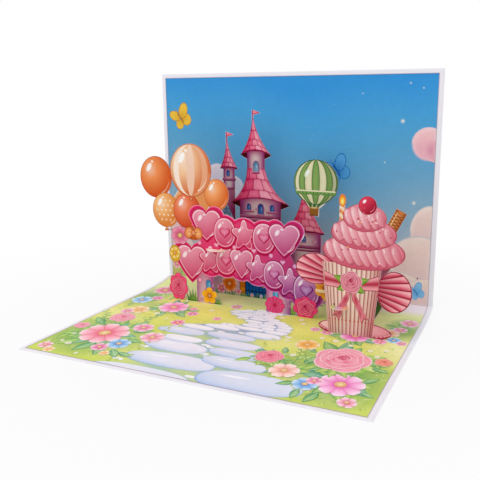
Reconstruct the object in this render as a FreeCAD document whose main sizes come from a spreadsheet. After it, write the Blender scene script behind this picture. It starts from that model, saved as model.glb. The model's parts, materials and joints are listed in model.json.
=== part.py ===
import FreeCAD, Part
import math
import os
import Sketcher

# Pop-up greeting card, open at a right angle, in millimetres.
# The base panel lies on the table with its middle at the origin, X runs along the fold and +Y points to the fold.
# Heights are above the table, and places along the fold are from the card's middle.

os.makedirs("parts", exist_ok=True)
doc = FreeCAD.newDocument("pop_up_card")
sheet = doc.addObject("Spreadsheet::Sheet", "Sizes")

SIZES = {
    # The folder: two equal panels of one folded sheet, with the printed sheet glued inside it.
    "panel_width": 200.0,
    "panel_depth": 150.0,
    "cover_card": 0.35,
    "liner_card": 0.25,
    "liner_margin": 0.8,
    # The base panel is flat on the table and curls up towards the fold.
    "curl_length": 32.0,
    "curl_rise": 3.4,
    # The die-cut layers, each set this far in front of the fold, and the tabs that glue them down.
    "layer_card": 0.3,
    "castle_setback": 20.0,
    "arch_setback": 42.0,
    "cupcake_setback": 60.0,
    "foot_length": 9.0,
    "castle_foot_width": 60.0,
    # Spacer strips between the upright panel and the layers.
    "slot_clearance": 0.2,
    "tab_length": 7.0,
    "head_reach": 5.5,
    "left_spacer_middle": -35.2,
    "left_spacer_height": 38.4,
    "left_spacer_width": 16.0,
    "left_spacer_neck": 10.6,
    "left_spacer_head": 14.6,
    "right_spacer_middle": 40.5,
    "right_spacer_height": 20.0,
    "right_spacer_width": 12.0,
    "right_spacer_neck": 8.2,
    "right_spacer_head": 11.4,
    "low_spacer_middle": 56.2,
    "low_spacer_height": 16.9,
    "low_spacer_width": 12.0,
    "low_spacer_neck": 8.2,
    "low_spacer_head": 11.0,
    "high_spacer_middle": 63.4,
    "high_spacer_height": 26.0,
    "high_spacer_width": 17.0,
    # Castle layer: curtain wall, three round towers and a side roof.
    "wall_left": -52.0,
    "wall_right": 31.0,
    "wall_top": 48.0,
    # The main tower's shaft stands left of its drum's middle, and the spires lean a little to the left.
    "main_tower_middle": -13.3,
    "main_drum_width": 30.4,
    "main_eave": 67.0,
    "main_eave_drop": 5.8,
    "main_roof_width": 42.8,
    "main_roof_sag": 3.0,
    "main_roof_tip": 90.6,
    "main_shaft_middle": -16.2,
    "main_shaft_width": 12.9,
    "upper_eave": 99.4,
    "upper_eave_drop": 3.6,
    "upper_roof_width": 22.5,
    "upper_roof_sag": 2.0,
    "upper_roof_tip": 124.0,
    "upper_tip_middle": -18.2,
    "left_tower_middle": -36.3,
    "left_shaft_width": 8.6,
    "left_collar_height": 81.8,
    "left_collar_width": 10.0,
    "left_eave": 89.7,
    "left_eave_drop": 0.5,
    "left_roof_width": 13.5,
    "left_roof_sag": 1.2,
    "left_roof_tip": 109.6,
    "left_tip_middle": -37.8,
    "right_tower_middle": 19.2,
    "right_drum_width": 21.4,
    "right_eave": 49.8,
    "right_eave_drop": 1.0,
    "right_roof_width": 27.0,
    "right_roof_sag": 2.8,
    "right_roof_tip": 84.0,
    "right_tip_middle": 18.4,
    "side_roof_middle": -43.0,
    "side_roof_width": 27.0,
    "side_roof_top": 71.0,
    "side_roof_ridge": 6.0,
    "collar_height": 1.8,
    "pole_width": 1.2,
    "pole_height": 4.8,
    "pennant_length": 5.5,
    "pennant_height": 3.6,
    # Striped air balloon over the right tower.
    "air_balloon_middle": 26.0,
    "air_balloon_height": 83.5,
    "air_balloon_width": 30.0,
    "air_balloon_tall": 29.0,
    "basket_middle": 25.0,
    "basket_bottom": 61.5,
    "basket_width": 7.0,
    "basket_tall": 5.0,
    # Legs that carry the arched layer.
    "left_leg_middle": -44.0,
    "left_leg_width": 13.0,
    "right_leg_middle": 9.5,
    "right_leg_width": 17.0,
    "leg_top": 24.0,
    # Grass tufts at the layer's feet, and how far a balloon's knot hangs below it.
    "left_tuft_middle": -54.0,
    "left_tuft_width": 10.0,
    "left_tuft_height": 10.0,
    "inner_tuft_middle": -34.6,
    "inner_tuft_width": 6.0,
    "inner_tuft_height": 7.0,
    "right_tuft_middle": 17.5,
    "right_tuft_width": 9.0,
    "right_tuft_height": 8.5,
    "knot_length": 2.2,
    # Cupcake layer: pleated cup, plate, wafer roll and candle.
    "cup_middle": 62.5,
    "cup_bottom_width": 26.0,
    "cup_top_width": 35.0,
    "cup_top": 43.0,
    "wafer_foot": 80.0,
    "wafer_foot_height": 56.0,
    "wafer_width": 6.4,
    "wafer_length": 22.0,
    "wafer_lean": 27.0,
    "candle_middle": 56.5,
    "candle_width": 3.4,
    "candle_top": 76.5,
    "cupcake_foot_middle": 61.2,
    "cupcake_foot_width": 16.0,
    "cupcake_foot_end": 1.0,
}

# Round motifs, each an ellipse given by its middle, its height and its two half-widths.
ROUND_MOTIFS = {
    # Bunch of balloons at the arch's upper left.
    "balloon_big": (-53.0, 90.0, 15.5, 17.5),
    "balloon_left": (-80.0, 84.5, 12.5, 14.0),
    "balloon_low": (-73.0, 62.5, 10.5, 11.8),
    "balloon_mid": (-56.5, 63.0, 10.5, 12.0),
    "balloon_right": (-34.0, 75.0, 9.0, 10.4),
    "bow": (-52.0, 48.5, 7.0, 5.0),
    # Scalloped ground behind the upper row of five puffy shapes, the end ones hearts.
    "upper_one": (-42.0, 54.5, 13.5, 13.0),
    "upper_two": (-28.5, 51.5, 11.0, 11.0),
    "upper_three": (-14.5, 50.5, 11.0, 11.0),
    "upper_four": (-0.5, 50.0, 11.0, 11.0),
    "upper_five": (13.5, 49.0, 13.5, 13.0),
    # Scalloped ground behind the lower row of eight, the first a heart.
    "lower_one": (-54.0, 28.0, 14.5, 14.5),
    "lower_two": (-39.5, 30.0, 10.5, 10.5),
    "lower_three": (-28.0, 30.5, 10.5, 10.5),
    "lower_four": (-16.5, 29.5, 10.5, 10.5),
    "lower_five": (-5.0, 27.5, 10.5, 10.5),
    "lower_six": (6.5, 25.0, 10.5, 10.5),
    "lower_seven": (17.5, 21.0, 10.5, 10.5),
    "lower_eight": (28.5, 17.0, 12.0, 12.0),
    # Flowers beside and under the arch.
    "left_rose": (-65.0, 10.0, 7.6, 9.8),
    "left_bush": (-62.5, 46.0, 7.0, 6.5),
    "left_bud": (-67.0, 33.0, 4.6, 6.0),
    "right_rose": (28.0, 7.0, 8.5, 7.5),
    "slot_flower": (41.5, 21.5, 8.0, 8.0),
    "left_foot_flower": (-41.0, 6.2, 6.0, 6.0),
    "right_foot_flower": (7.0, 6.0, 7.0, 6.0),
    # Three turns of frosting, its tip, the candle's flame and the side bow.
    "frosting_low": (69.0, 51.0, 24.0, 10.5),
    "frosting_mid": (69.0, 61.5, 19.0, 9.5),
    "frosting_top": (69.5, 70.5, 12.5, 8.0),
    "cherry": (71.0, 77.6, 5.2, 5.2),
    "flame": (56.5, 79.6, 2.1, 3.6),
    "bow_left": (41.0, 38.5, 12.5, 9.5),
    "bow_right": (87.5, 29.5, 10.0, 12.0),
    "plate": (65.0, 4.5, 22.0, 5.5),
}
ROUND_PARTS = ("middle", "height", "half_width", "half_height")

for name, values in ROUND_MOTIFS.items():
    for part, value in zip(ROUND_PARTS, values):
        SIZES[name + "_" + part] = value

for row, (alias, value) in enumerate(SIZES.items(), start=1):
    sheet.set("A%d" % row, alias)
    sheet.set("B%d" % row, str(value))
    sheet.setAlias("B%d" % row, alias)
doc.recompute()


class Size:
    """A size that knows its present value and the formula that ties it to the sheet."""

    def __init__(self, value, formula):
        self.value = value
        self.formula = formula

    def join(self, other, sign, value):
        text = other.formula if isinstance(other, Size) else repr(float(other))
        return Size(value, "(%s %s %s)" % (self.formula, sign, text))

    def __add__(self, other):
        return self.join(other, "+", self.value + number(other))

    def __sub__(self, other):
        return self.join(other, "-", self.value - number(other))

    def __mul__(self, other):
        return self.join(other, "*", self.value * number(other))

    def __truediv__(self, other):
        return self.join(other, "/", self.value / number(other))

    def __neg__(self):
        return self * -1


def number(size):
    return size.value if isinstance(size, Size) else float(size)


def root(size):
    return Size(math.sqrt(size.value), "sqrt(%s)" % size.formula)


def cell(alias):
    return Size(float(sheet.get(alias)), "Sizes." + alias)


# Places that several pieces share.
fold = cell("panel_depth") / 2
curl_start = fold - cell("curl_length")
curl_radius = (cell("curl_length") * cell("curl_length") + cell("curl_rise") * cell("curl_rise")) / (
    cell("curl_rise") * 2)
liner_top = cell("cover_card") + cell("liner_card")
liner_face = fold - liner_top
layer_card = cell("layer_card")


def curl_height(place, lift):
    """Height, in the curl, of the surface that lies a distance lift above the underside."""
    across = place - curl_start
    radius = curl_radius - lift
    return curl_radius - root(radius * radius - across * across)


def base_height(place, lift):
    """Plain number: the same surface's height anywhere on the base panel."""
    if place <= curl_start.value:
        return lift
    radius = curl_radius.value - lift
    return curl_radius.value - math.sqrt(radius ** 2 - (place - curl_start.value) ** 2)


def origin_plane(body, role):
    return [feature for feature in body.Origin.OriginFeatures if feature.Role == role][0]


def new_body(label):
    body = doc.addObject("PartDesign::Body", label)
    body.Label = label
    return body


def new_sketch(body, name, role):
    sketch = body.newObject("Sketcher::SketchObject", name)
    sketch.AttachmentSupport = [(origin_plane(body, role), "")]
    sketch.MapMode = "FlatFace"
    return sketch


def bind_point(sketch, edge, end, point):
    """Ties one end of an edge to the sheet, as distances from the sketch's origin."""
    for kind, size in (("DistanceX", point[0]), ("DistanceY", point[1])):
        index = sketch.addConstraint(Sketcher.Constraint(kind, -1, 1, edge, end, size.value))
        sketch.setExpression("Constraints[%d]" % index, size.formula)


def draw_outline(sketch, points, arcs):
    """Closed outline through the points. arcs maps an edge's number to (centre, turns_left)."""
    vectors = [FreeCAD.Vector(point[0].value, point[1].value, 0) for point in points]
    count = len(points)
    for edge in range(count):
        start = vectors[edge]
        end = vectors[(edge + 1) % count]
        if edge in arcs:
            centre = FreeCAD.Vector(arcs[edge][0][0].value, arcs[edge][0][1].value, 0)
            first, last = (start, end) if arcs[edge][1] else (end, start)
            circle = Part.Circle(centre, FreeCAD.Vector(0, 0, 1), centre.distanceToPoint(start))
            arc = Part.ArcOfCircle(circle, circle.parameter(first), circle.parameter(last))
            sketch.addGeometry(arc, False)
        else:
            sketch.addGeometry(Part.LineSegment(start, end), False)
    ends = {edge: (1, 2) for edge in range(count)}
    for edge, (centre, turns_left) in arcs.items():
        if not turns_left:
            ends[edge] = (2, 1)
    for edge in range(count):
        following = (edge + 1) % count
        sketch.addConstraint(
            Sketcher.Constraint("Coincident", edge, ends[edge][1], following, ends[following][0]))
    for edge in range(count):
        bind_point(sketch, edge, ends[edge][0], points[edge])
    for edge, (centre, turns_left) in arcs.items():
        index = sketch.addConstraint(Sketcher.Constraint("DistanceY", -1, 1, edge, 3, centre[1].value))
        sketch.setExpression("Constraints[%d]" % index, centre[1].formula)


def pad(body, name, sketch, length, midplane=False, reverse=False):
    feature = body.newObject("PartDesign::Pad", name)
    feature.Profile = sketch
    feature.setExpression("Length", length.formula)
    feature.Midplane = midplane
    feature.Reversed = reverse
    return feature


# Folder: one sheet scored across its middle, seen from the side as an L whose foot curls at the fold.
def folded_sheet(label, lift, card, margin):
    body = new_body(label)
    sketch = new_sketch(body, label + "_side", "YZ_Plane")
    top = cell("panel_depth") + cell("curl_rise") - margin
    front = margin - fold
    outer, inner = lift, lift + card
    points = [
        (front, outer),
        (curl_start, outer),
        (fold - outer, curl_height(fold - outer, outer)),
        (fold - outer, top),
        (fold - inner, top),
        (fold - inner, curl_height(fold - inner, inner)),
        (curl_start, inner),
        (front, inner),
    ]
    centre = (curl_start, curl_radius)
    draw_outline(sketch, points, {1: (centre, True), 5: (centre, False)})
    pad(body, label + "_pad", sketch, cell("panel_width") - margin * 2, midplane=True)
    return body


nothing = cell("cover_card") * 0
cover = folded_sheet("cover", nothing, cell("cover_card"), nothing)
liner = folded_sheet("liner", cell("cover_card"), cell("liner_card"), cell("liner_margin"))


# Spacer strips: level card strips with a glue tab on the upright panel.
# Three end in a neck and a round head that hook through a layer, and the fourth is glued to its layer.
def spacer(label, prefix, setback, hooked):
    body = new_body(label)
    middle, half = cell(prefix + "_middle"), cell(prefix + "_width") / 2
    layer_front = fold - cell(setback)
    layer_back = layer_front + layer_card
    plan = new_sketch(body, label + "_plan", "XY_Plane")
    if hooked:
        neck, head = cell(prefix + "_neck") / 2, cell(prefix + "_head") / 2
        reach = cell("head_reach")
        centre = (middle, layer_front - reach + (head * head + reach * reach) / (reach * 2))
        points = [
            (middle - half, liner_face),
            (middle - half, layer_back),
            (middle - neck, layer_back),
            (middle - neck, layer_front),
            (middle - head, layer_front),
            (middle + head, layer_front),
            (middle + neck, layer_front),
            (middle + neck, layer_back),
            (middle + half, layer_back),
            (middle + half, liner_face),
        ]
        draw_outline(plan, points, {4: (centre, True)})
    else:
        points = [
            (middle - half, liner_face),
            (middle - half, layer_back),
            (middle + half, layer_back),
            (middle + half, liner_face),
        ]
        draw_outline(plan, points, {})
    pad(body, label + "_strip", plan, layer_card)
    ends = [("rear_tab", liner_face - layer_card, liner_face)]
    if not hooked:
        ends.append(("front_tab", layer_back, layer_back + layer_card))
    for name, near, far in ends:
        tab = new_sketch(body, label + "_" + name, "XY_Plane")
        corners = [(middle - half, near), (middle + half, near), (middle + half, far), (middle - half, far)]
        draw_outline(tab, corners, {})
        pad(body, label + "_" + name + "_pad", tab, cell("tab_length"), reverse=True)
    body.setExpression("Placement.Base.z", cell(prefix + "_height").formula)
    return body


spacers = [
    spacer("left_spacer", "left_spacer", "arch_setback", True),
    spacer("right_spacer", "right_spacer", "arch_setback", True),
    spacer("low_spacer", "low_spacer", "cupcake_setback", True),
    spacer("high_spacer", "high_spacer", "cupcake_setback", False),
]


# Die-cut layers: flat outlines, drawn from straight and round motifs and cut from one card.
def size(alias):
    return cell(alias).value


def at(x, z):
    return FreeCAD.Vector(x, 0, z)


def polygon(points):
    return Part.Face(Part.makePolygon([at(x, z) for x, z in points + points[:1]]))


def block(middle, width, low, high):
    left, right = middle - width / 2, middle + width / 2
    return polygon([(left, low), (right, low), (right, high), (left, high)])


def ellipse(x, z, half_width, half_height):
    if abs(half_width - half_height) < 1e-6:
        edge = Part.Circle(at(x, z), FreeCAD.Vector(0, -1, 0), half_width).toShape()
    elif half_width > half_height:
        edge = Part.Ellipse(at(x + half_width, z), at(x, z + half_height), at(x, z)).toShape()
    else:
        edge = Part.Ellipse(at(x, z + half_height), at(x - half_width, z), at(x, z)).toShape()
    return Part.Face(Part.Wire(edge))


def motif(name):
    return ellipse(*[size(name + "_" + part) for part in ROUND_PARTS])


def heart(name):
    """Two round lobes over a tip, as wide and as tall as the motif."""
    x, z, wide, tall = [size(name + "_" + part) for part in ROUND_PARTS]
    lobe = 0.53 * wide
    lobe_height = z + tall - lobe
    lobes = [ellipse(x + side * (wide - lobe), lobe_height, lobe, lobe) for side in (-1, 1)]
    lean = 0.30 * lobe
    tip = polygon([
        (x, z - tall), (x + wide - lean, lobe_height - 0.62 * lobe), (x, lobe_height + lean),
        (x - wide + lean, lobe_height - 0.62 * lobe)])
    sides = [bowed_tip(x, z - tall, x + side * wide, lobe_height, side) for side in (-1, 1)]
    return lobes + [tip] + sides


def bowed_tip(x, low, side_x, side_z, side):
    """Thin sliver that rounds out a heart's straight flank."""
    start, end = (x, low), (side_x, side_z)
    edges = [bowed(start, end, -side * 0.12 * abs(side_x - x)),
             Part.LineSegment(at(*end), at(*start)).toShape()]
    return Part.Face(Part.Wire(edges))


def blossom(name, petals):
    """Round petals about a middle, reaching the motif's half-widths."""
    x, z, wide, tall = [size(name + "_" + part) for part in ROUND_PARTS]
    share = 0.40
    faces = [ellipse(x, z, 0.7 * wide, 0.7 * tall)]
    for turn in range(petals):
        angle = math.pi / 2 + 2 * math.pi * turn / petals
        faces.append(ellipse(x + (1 - share) * wide * math.cos(angle), z + (1 - share) * tall * math.sin(angle),
                             share * wide, share * tall))
    return faces


def tuft(prefix, bottom):
    """Fan of five pointed blades of grass."""
    x, width, height = size(prefix + "_middle"), size(prefix + "_width"), size(prefix + "_height")
    faces = []
    for blade in (-2, -1, 0, 1, 2):
        foot = x + blade * width / 8
        tip = (x + blade * width / 4, bottom + height * (1 - 0.09 * blade * blade))
        faces.append(polygon([(foot - width / 7, bottom - 1), (foot + width / 7, bottom - 1), tip]))
    return faces


def balloon(name):
    """Balloon with its knot below."""
    x, z, wide, tall = [size(name + "_" + part) for part in ROUND_PARTS]
    knot = size("knot_length")
    low = z - tall - knot
    return [ellipse(x, z, wide, tall), polygon([(x - 0.8 * knot, low), (x + 0.8 * knot, low), (x, low + 1.6 * knot)])]


def bowed(start, end, bulge):
    """Arc from start to end that stands off its chord by bulge, to the left of the way it runs."""
    (x0, z0), (x1, z1) = start, end
    length = math.hypot(x1 - x0, z1 - z0)
    middle = at((x0 + x1) / 2 - (z1 - z0) / length * bulge, (z0 + z1) / 2 + (x1 - x0) / length * bulge)
    return Part.Arc(at(x0, z0), middle, at(x1, z1)).toShape()


def roof(prefix, middle, tip_middle, top_width=0.6):
    """Witch's-hat roof: sides that curve in to a leaning tip, over an eave that hangs down in the middle."""
    half, top = size(prefix + "_roof_width") / 2, top_width / 2
    eave, tip, sag = [size(prefix + part) for part in ("_eave", "_roof_tip", "_roof_sag")]
    left, right = (middle - half, eave), (middle + half, eave)
    crown_left, crown_right = (tip_middle - top, tip), (tip_middle + top, tip)
    edges = [
        bowed(left, right, -size(prefix + "_eave_drop")),
        bowed(right, crown_right, sag),
        Part.LineSegment(at(*crown_right), at(*crown_left)).toShape(),
        bowed(crown_left, left, sag),
    ]
    return Part.Face(Part.Wire(edges))


def flag(middle, tip):
    pole_top = tip + size("pole_height")
    pole = block(middle, size("pole_width"), tip - 2 * size("pole_width"), pole_top)
    end = middle + size("pennant_length")
    cloth = polygon([
        (middle, pole_top), (end, pole_top - size("pennant_height") / 2), (middle, pole_top - size("pennant_height"))])
    return [pole, cloth]


def castle_faces(bottom):
    main, left, right = size("main_tower_middle"), size("left_tower_middle"), size("right_tower_middle")
    shaft, spire, left_spire = size("main_shaft_middle"), size("upper_tip_middle"), size("left_tip_middle")
    wall_middle = (size("wall_left") + size("wall_right")) / 2
    faces = [
        block(wall_middle, size("wall_right") - size("wall_left"), bottom, size("wall_top")),
        block(main, size("main_drum_width"), bottom, size("main_eave")),
        roof("main", main, shaft, size("main_shaft_width")),
        block(shaft, size("main_shaft_width"), size("main_eave"), size("upper_eave")),
        roof("upper", shaft, spire),
        block(left, size("left_shaft_width"), bottom, size("left_eave")),
        block(left, size("left_collar_width"), size("left_collar_height"),
              size("left_collar_height") + size("collar_height")),
        roof("left", left, left_spire),
        block(right, size("right_drum_width"), bottom, size("right_eave")),
        roof("right", right, size("right_tip_middle")),
    ]
    faces += flag(spire, size("upper_roof_tip")) + flag(left_spire, size("left_roof_tip"))
    side, foot, ridge = size("side_roof_middle"), size("side_roof_width") / 2, size("side_roof_ridge") / 2
    faces.append(polygon([
        (side - foot, bottom), (side + foot, bottom), (side + foot, size("wall_top")),
        (side + ridge, size("side_roof_top")), (side - ridge, size("side_roof_top")),
        (side - foot, size("wall_top"))]))
    return faces + air_balloon_faces()


def air_balloon_faces():
    x, z = size("air_balloon_middle"), size("air_balloon_height")
    wide, tall = size("air_balloon_width") / 2, size("air_balloon_tall") / 2
    basket, basket_bottom = size("basket_middle"), size("basket_bottom")
    basket_half, basket_top = size("basket_width") / 2, basket_bottom + size("basket_tall")
    cords = polygon([
        (basket - basket_half, basket_top), (basket + basket_half, basket_top),
        (x + 0.8 * wide, z - 0.6 * tall), (x - 0.8 * wide, z - 0.6 * tall)])
    return [ellipse(x, z, wide, tall), cords, block(basket, 2 * basket_half, basket_bottom, basket_top + 1)]


UPPER_ROW = ["upper_one", "upper_two", "upper_three", "upper_four", "upper_five"]
LOWER_ROW = ["lower_one", "lower_two", "lower_three", "lower_four",
             "lower_five", "lower_six", "lower_seven", "lower_eight"]


def middles(names):
    return [(size(name + "_middle"), size(name + "_height")) for name in names]


def arch_faces(bottom):
    hearts = ["upper_one", "upper_five", "lower_one"]
    faces = [motif(name) for name in UPPER_ROW + LOWER_ROW + ["bow", "left_bud"] if name not in hearts]
    for name in hearts:
        faces += heart(name)
    for name in ("balloon_big", "balloon_left", "balloon_low", "balloon_mid", "balloon_right"):
        faces += balloon(name)
    for name, petals in (("left_rose", 7), ("left_bush", 7), ("right_rose", 7), ("slot_flower", 6),
                         ("left_foot_flower", 5), ("right_foot_flower", 8)):
        faces += blossom(name, petals)
    for prefix in ("left_tuft", "inner_tuft", "right_tuft"):
        faces += tuft(prefix, bottom)
    # The two rows are backed by one band, so no gap opens between them.
    faces.append(polygon(middles(UPPER_ROW) + middles(LOWER_ROW)[::-1]))
    # Strings run from the balloons' necks to the bow.
    faces.append(polygon(middles(["balloon_low", "bow", "balloon_right", "balloon_big"])))
    for side in ("left_leg", "right_leg"):
        faces.append(block(size(side + "_middle"), size(side + "_width"), bottom, size("leg_top")))
    return faces


def cupcake_faces(bottom):
    names = ["frosting_low", "frosting_mid", "frosting_top", "cherry", "flame", "bow_left", "bow_right", "plate"]
    middle, low, high = size("cup_middle"), size("cup_bottom_width") / 2, size("cup_top_width") / 2
    faces = [motif(name) for name in names]
    faces.append(polygon([
        (middle - low, bottom), (middle + low, bottom),
        (middle + high, size("cup_top")), (middle - high, size("cup_top"))]))
    faces.append(block(size("candle_middle"), size("candle_width"), size("cup_top"), size("candle_top")))
    wafer = block(size("wafer_foot"), size("wafer_width"), size("wafer_foot_height"),
                  size("wafer_foot_height") + size("wafer_length"))
    wafer.rotate(at(size("wafer_foot"), size("wafer_foot_height")), FreeCAD.Vector(0, 1, 0), size("wafer_lean"))
    faces.append(wafer)
    # Both loops of the bow run on behind the cup.
    faces.append(polygon(middles(["bow_left"]) + [(middle, size("cup_top") / 2)] + middles(["bow_right"])
                         + [(middle, size("cup_top"))]))
    return faces


def foot(place, middle, width, far):
    """Glue foot: the layer's lower edge folded back along the base, curl and all, out to far."""
    lift, top, start = liner_top.value, liner_top.value + layer_card.value, place + layer_card.value
    bend = max(start, min(curl_start.value, far))
    edges = []

    def run(first, last, height):
        if abs(last - first) < 1e-6:
            return
        points = [FreeCAD.Vector(0, y, base_height(y, height)) for y in (first, (first + last) / 2, last)]
        if max(first, last) <= curl_start.value + 1e-6:
            edges.append(Part.LineSegment(points[0], points[2]).toShape())
        else:
            edges.append(Part.Arc(*points).toShape())

    run(start, bend, lift)
    run(bend, far, lift)
    tip_low, tip_high = base_height(far, lift), base_height(far, top)
    edges.append(Part.LineSegment(FreeCAD.Vector(0, far, tip_low), FreeCAD.Vector(0, far, tip_high)).toShape())
    run(far, bend, top)
    run(bend, start, top)
    near_low, near_high = base_height(start, lift), base_height(start, top)
    edges.append(
        Part.LineSegment(FreeCAD.Vector(0, start, near_high), FreeCAD.Vector(0, start, near_low)).toShape())
    side = Part.Face(Part.Wire(edges))
    side.translate(FreeCAD.Vector(middle - width / 2, -place, 0))
    return side.extrude(FreeCAD.Vector(width, 0, 0))


def slot(prefix, width):
    """Slot for a strip that crosses the layer."""
    card, gap = layer_card.value, size("slot_clearance")
    corner = FreeCAD.Vector(size(prefix + "_middle") - width / 2 - gap, -card, size(prefix + "_height") - gap)
    return Part.makeBox(width + 2 * gap, 3 * card, card + 2 * gap, corner)


def layer(label, setback, draw, feet, slots):
    place = fold.value - size(setback)
    bottom = base_height(place + layer_card.value, liner_top.value)
    solids = [face.extrude(FreeCAD.Vector(0, layer_card.value, 0)) for face in draw(bottom)]
    cut = solids[0].multiFuse(solids[1:]).removeSplitter()
    reach = size("panel_width")
    below = Part.makeBox(2 * reach, 3 * layer_card.value, reach,
                         FreeCAD.Vector(-reach, -layer_card.value, bottom - reach))
    cut = cut.cut(below)
    for middle, width, far in feet:
        cut = cut.fuse(foot(place, middle, width, far))
    for prefix, width in slots:
        cut = cut.cut(slot(prefix, width))
    shape = cut.removeSplitter()
    feature = doc.addObject("Part::Feature", label)
    feature.Label = label
    feature.Shape = shape.Solids[0] if len(shape.Solids) == 1 else shape
    feature.Placement = FreeCAD.Placement(FreeCAD.Vector(0, place, 0), FreeCAD.Rotation())
    return feature


def behind(setback, length):
    return fold.value - size(setback) + layer_card.value + length


wall_middle = (size("wall_left") + size("wall_right")) / 2
layers = [
    layer("castle_layer", "castle_setback", castle_faces,
          [(wall_middle, size("castle_foot_width"), behind("castle_setback", size("foot_length")))],
          [("left_spacer", size("left_spacer_width"))]),
    layer("arch_layer", "arch_setback", arch_faces,
          [(size("left_leg_middle"), size("left_leg_width"), behind("arch_setback", size("foot_length"))),
           (size("right_leg_middle"), size("right_leg_width"), behind("arch_setback", size("foot_length")))],
          [("left_spacer", size("left_spacer_neck")), ("right_spacer", size("right_spacer_neck"))]),
    layer("cupcake_layer", "cupcake_setback", cupcake_faces,
          [(size("cupcake_foot_middle"), size("cupcake_foot_width"),
            liner_face.value - size("cupcake_foot_end"))],
          [("low_spacer", size("low_spacer_neck"))]),
]

doc.recompute()
for item in doc.Objects:
    if "Invalid" in item.State or "Error" in item.State:
        raise RuntimeError("%s failed: %s" % (item.Label, item.State))

for piece in [cover, liner] + spacers + layers:
    shape = piece.Shape
    if shape.isNull() or not shape.isValid() or len(shape.Solids) != 1:
        raise RuntimeError("%s is not one sound solid: %d" % (piece.Label, len(shape.Solids)))
    shape.exportStep("parts/%s.step" % piece.Label)
    box = shape.BoundBox
    print("%-14s %8.1f mm3  x %.1f %.1f  y %.1f %.1f  z %.2f %.2f" % (
        piece.Label, shape.Volume, box.XMin, box.XMax, box.YMin, box.YMax, box.ZMin, box.ZMax))
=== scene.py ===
import json
import math
import random
import bpy
import numpy as np
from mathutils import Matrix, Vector
from mathutils.geometry import tessellate_polygon

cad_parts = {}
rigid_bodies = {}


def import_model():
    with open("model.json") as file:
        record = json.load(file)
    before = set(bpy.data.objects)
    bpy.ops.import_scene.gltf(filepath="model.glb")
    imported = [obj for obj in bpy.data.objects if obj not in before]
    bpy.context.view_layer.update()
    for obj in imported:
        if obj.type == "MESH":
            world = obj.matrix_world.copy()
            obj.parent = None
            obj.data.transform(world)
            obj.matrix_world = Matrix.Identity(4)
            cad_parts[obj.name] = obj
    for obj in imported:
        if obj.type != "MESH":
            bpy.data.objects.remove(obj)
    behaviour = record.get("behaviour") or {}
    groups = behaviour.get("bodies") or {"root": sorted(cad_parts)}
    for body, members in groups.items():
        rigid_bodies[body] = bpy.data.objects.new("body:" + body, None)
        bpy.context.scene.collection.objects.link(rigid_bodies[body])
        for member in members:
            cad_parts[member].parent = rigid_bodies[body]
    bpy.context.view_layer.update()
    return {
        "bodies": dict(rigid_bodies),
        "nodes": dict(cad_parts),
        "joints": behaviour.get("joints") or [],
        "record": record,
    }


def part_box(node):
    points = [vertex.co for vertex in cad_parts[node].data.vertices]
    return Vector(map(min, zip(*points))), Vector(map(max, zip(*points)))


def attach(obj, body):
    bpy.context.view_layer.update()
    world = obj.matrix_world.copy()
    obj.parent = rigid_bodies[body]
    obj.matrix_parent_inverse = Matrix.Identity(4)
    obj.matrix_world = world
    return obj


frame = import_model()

nodes = frame["nodes"]

# Camera: the card seen from a little above, from its right of centre, with a lens a bit longer than normal.
# The picture was cropped off its centre, so the lens is shifted by the same small amount.
PICTURE = 480
FOCAL_PX = 603.17
CENTRE_PX = (282.45, 229.86)
FOLD_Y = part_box("cover")[1].y
target = Vector((0.01145, FOLD_Y - 0.040, 0.05527))
azimuth, elevation = math.radians(23.05), math.radians(11.725)
toward_camera = Vector((math.sin(azimuth) * math.cos(elevation), -math.cos(azimuth) * math.cos(elevation),
                        math.sin(elevation)))
camera = bpy.data.objects.new("camera", bpy.data.cameras.new("camera"))
camera.data.lens = 36 * FOCAL_PX / PICTURE
camera.data.shift_x = (PICTURE / 2 - CENTRE_PX[0]) / PICTURE
camera.data.shift_y = (CENTRE_PX[1] - PICTURE / 2) / PICTURE
camera.location = target + 0.37757 * toward_camera
camera.rotation_euler = toward_camera.to_track_quat("Z", "Y").to_euler()
bpy.context.scene.collection.objects.link(camera)
bpy.context.scene.camera = camera


# Card stock: the cover is one white sheet of smooth uncoated card, scored and folded once.
# The same stock, printed on one side, makes the layers: their backs are white, and their cut edges took up some ink.
class Wire:
    """A node's output socket, with arithmetic that adds the nodes for it."""

    def __init__(self, tree, socket):
        self.tree = tree
        self.socket = socket

    def node(self, kind, settings=None, **inputs):
        made = self.tree.nodes.new(kind)
        for key, value in (settings or {}).items():
            setattr(made, key, value)
        for key, value in inputs.items():
            place = made.inputs[int(key[1:])] if key[1:].isdigit() else made.inputs[key.replace("_", " ")]
            if isinstance(value, Wire):
                self.tree.links.new(value.socket, place)
            else:
                place.default_value = value
        return made

    def math(self, operation, other):
        made = self.node("ShaderNodeMath", {"operation": operation}, i0=self, i1=other)
        return Wire(self.tree, made.outputs[0])

    def __add__(self, other):
        return self.math("ADD", other)

    def __mul__(self, other):
        return self.math("MULTIPLY", other)

    def __sub__(self, other):
        return self.math("SUBTRACT", other)

    def __rsub__(self, other):
        return self * -1 + other

    __radd__ = __add__
    __rmul__ = __mul__


def tone(code):
    """Linear colour from the usual six-digit code."""
    values = np.array([int(code[i:i + 2], 16) / 255 for i in (0, 2, 4)])
    return np.where(values <= 0.04045, values / 12.92, ((values + 0.055) / 1.055) ** 2.4)


def new_material(name, roughness, coat=0.0):
    """Material with a surface shader, and the wire that carries a place in the object's own space."""
    material = bpy.data.materials.new(name)
    material.use_nodes = True
    tree = material.node_tree
    shader = tree.nodes["Principled BSDF"]
    shader.inputs["Roughness"].default_value = roughness
    shader.inputs["Coat Weight"].default_value = coat
    shader.inputs["Coat Roughness"].default_value = 0.25
    place = Wire(tree, tree.nodes.new("ShaderNodeTexCoord").outputs["Object"])
    return material, shader, place


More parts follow.
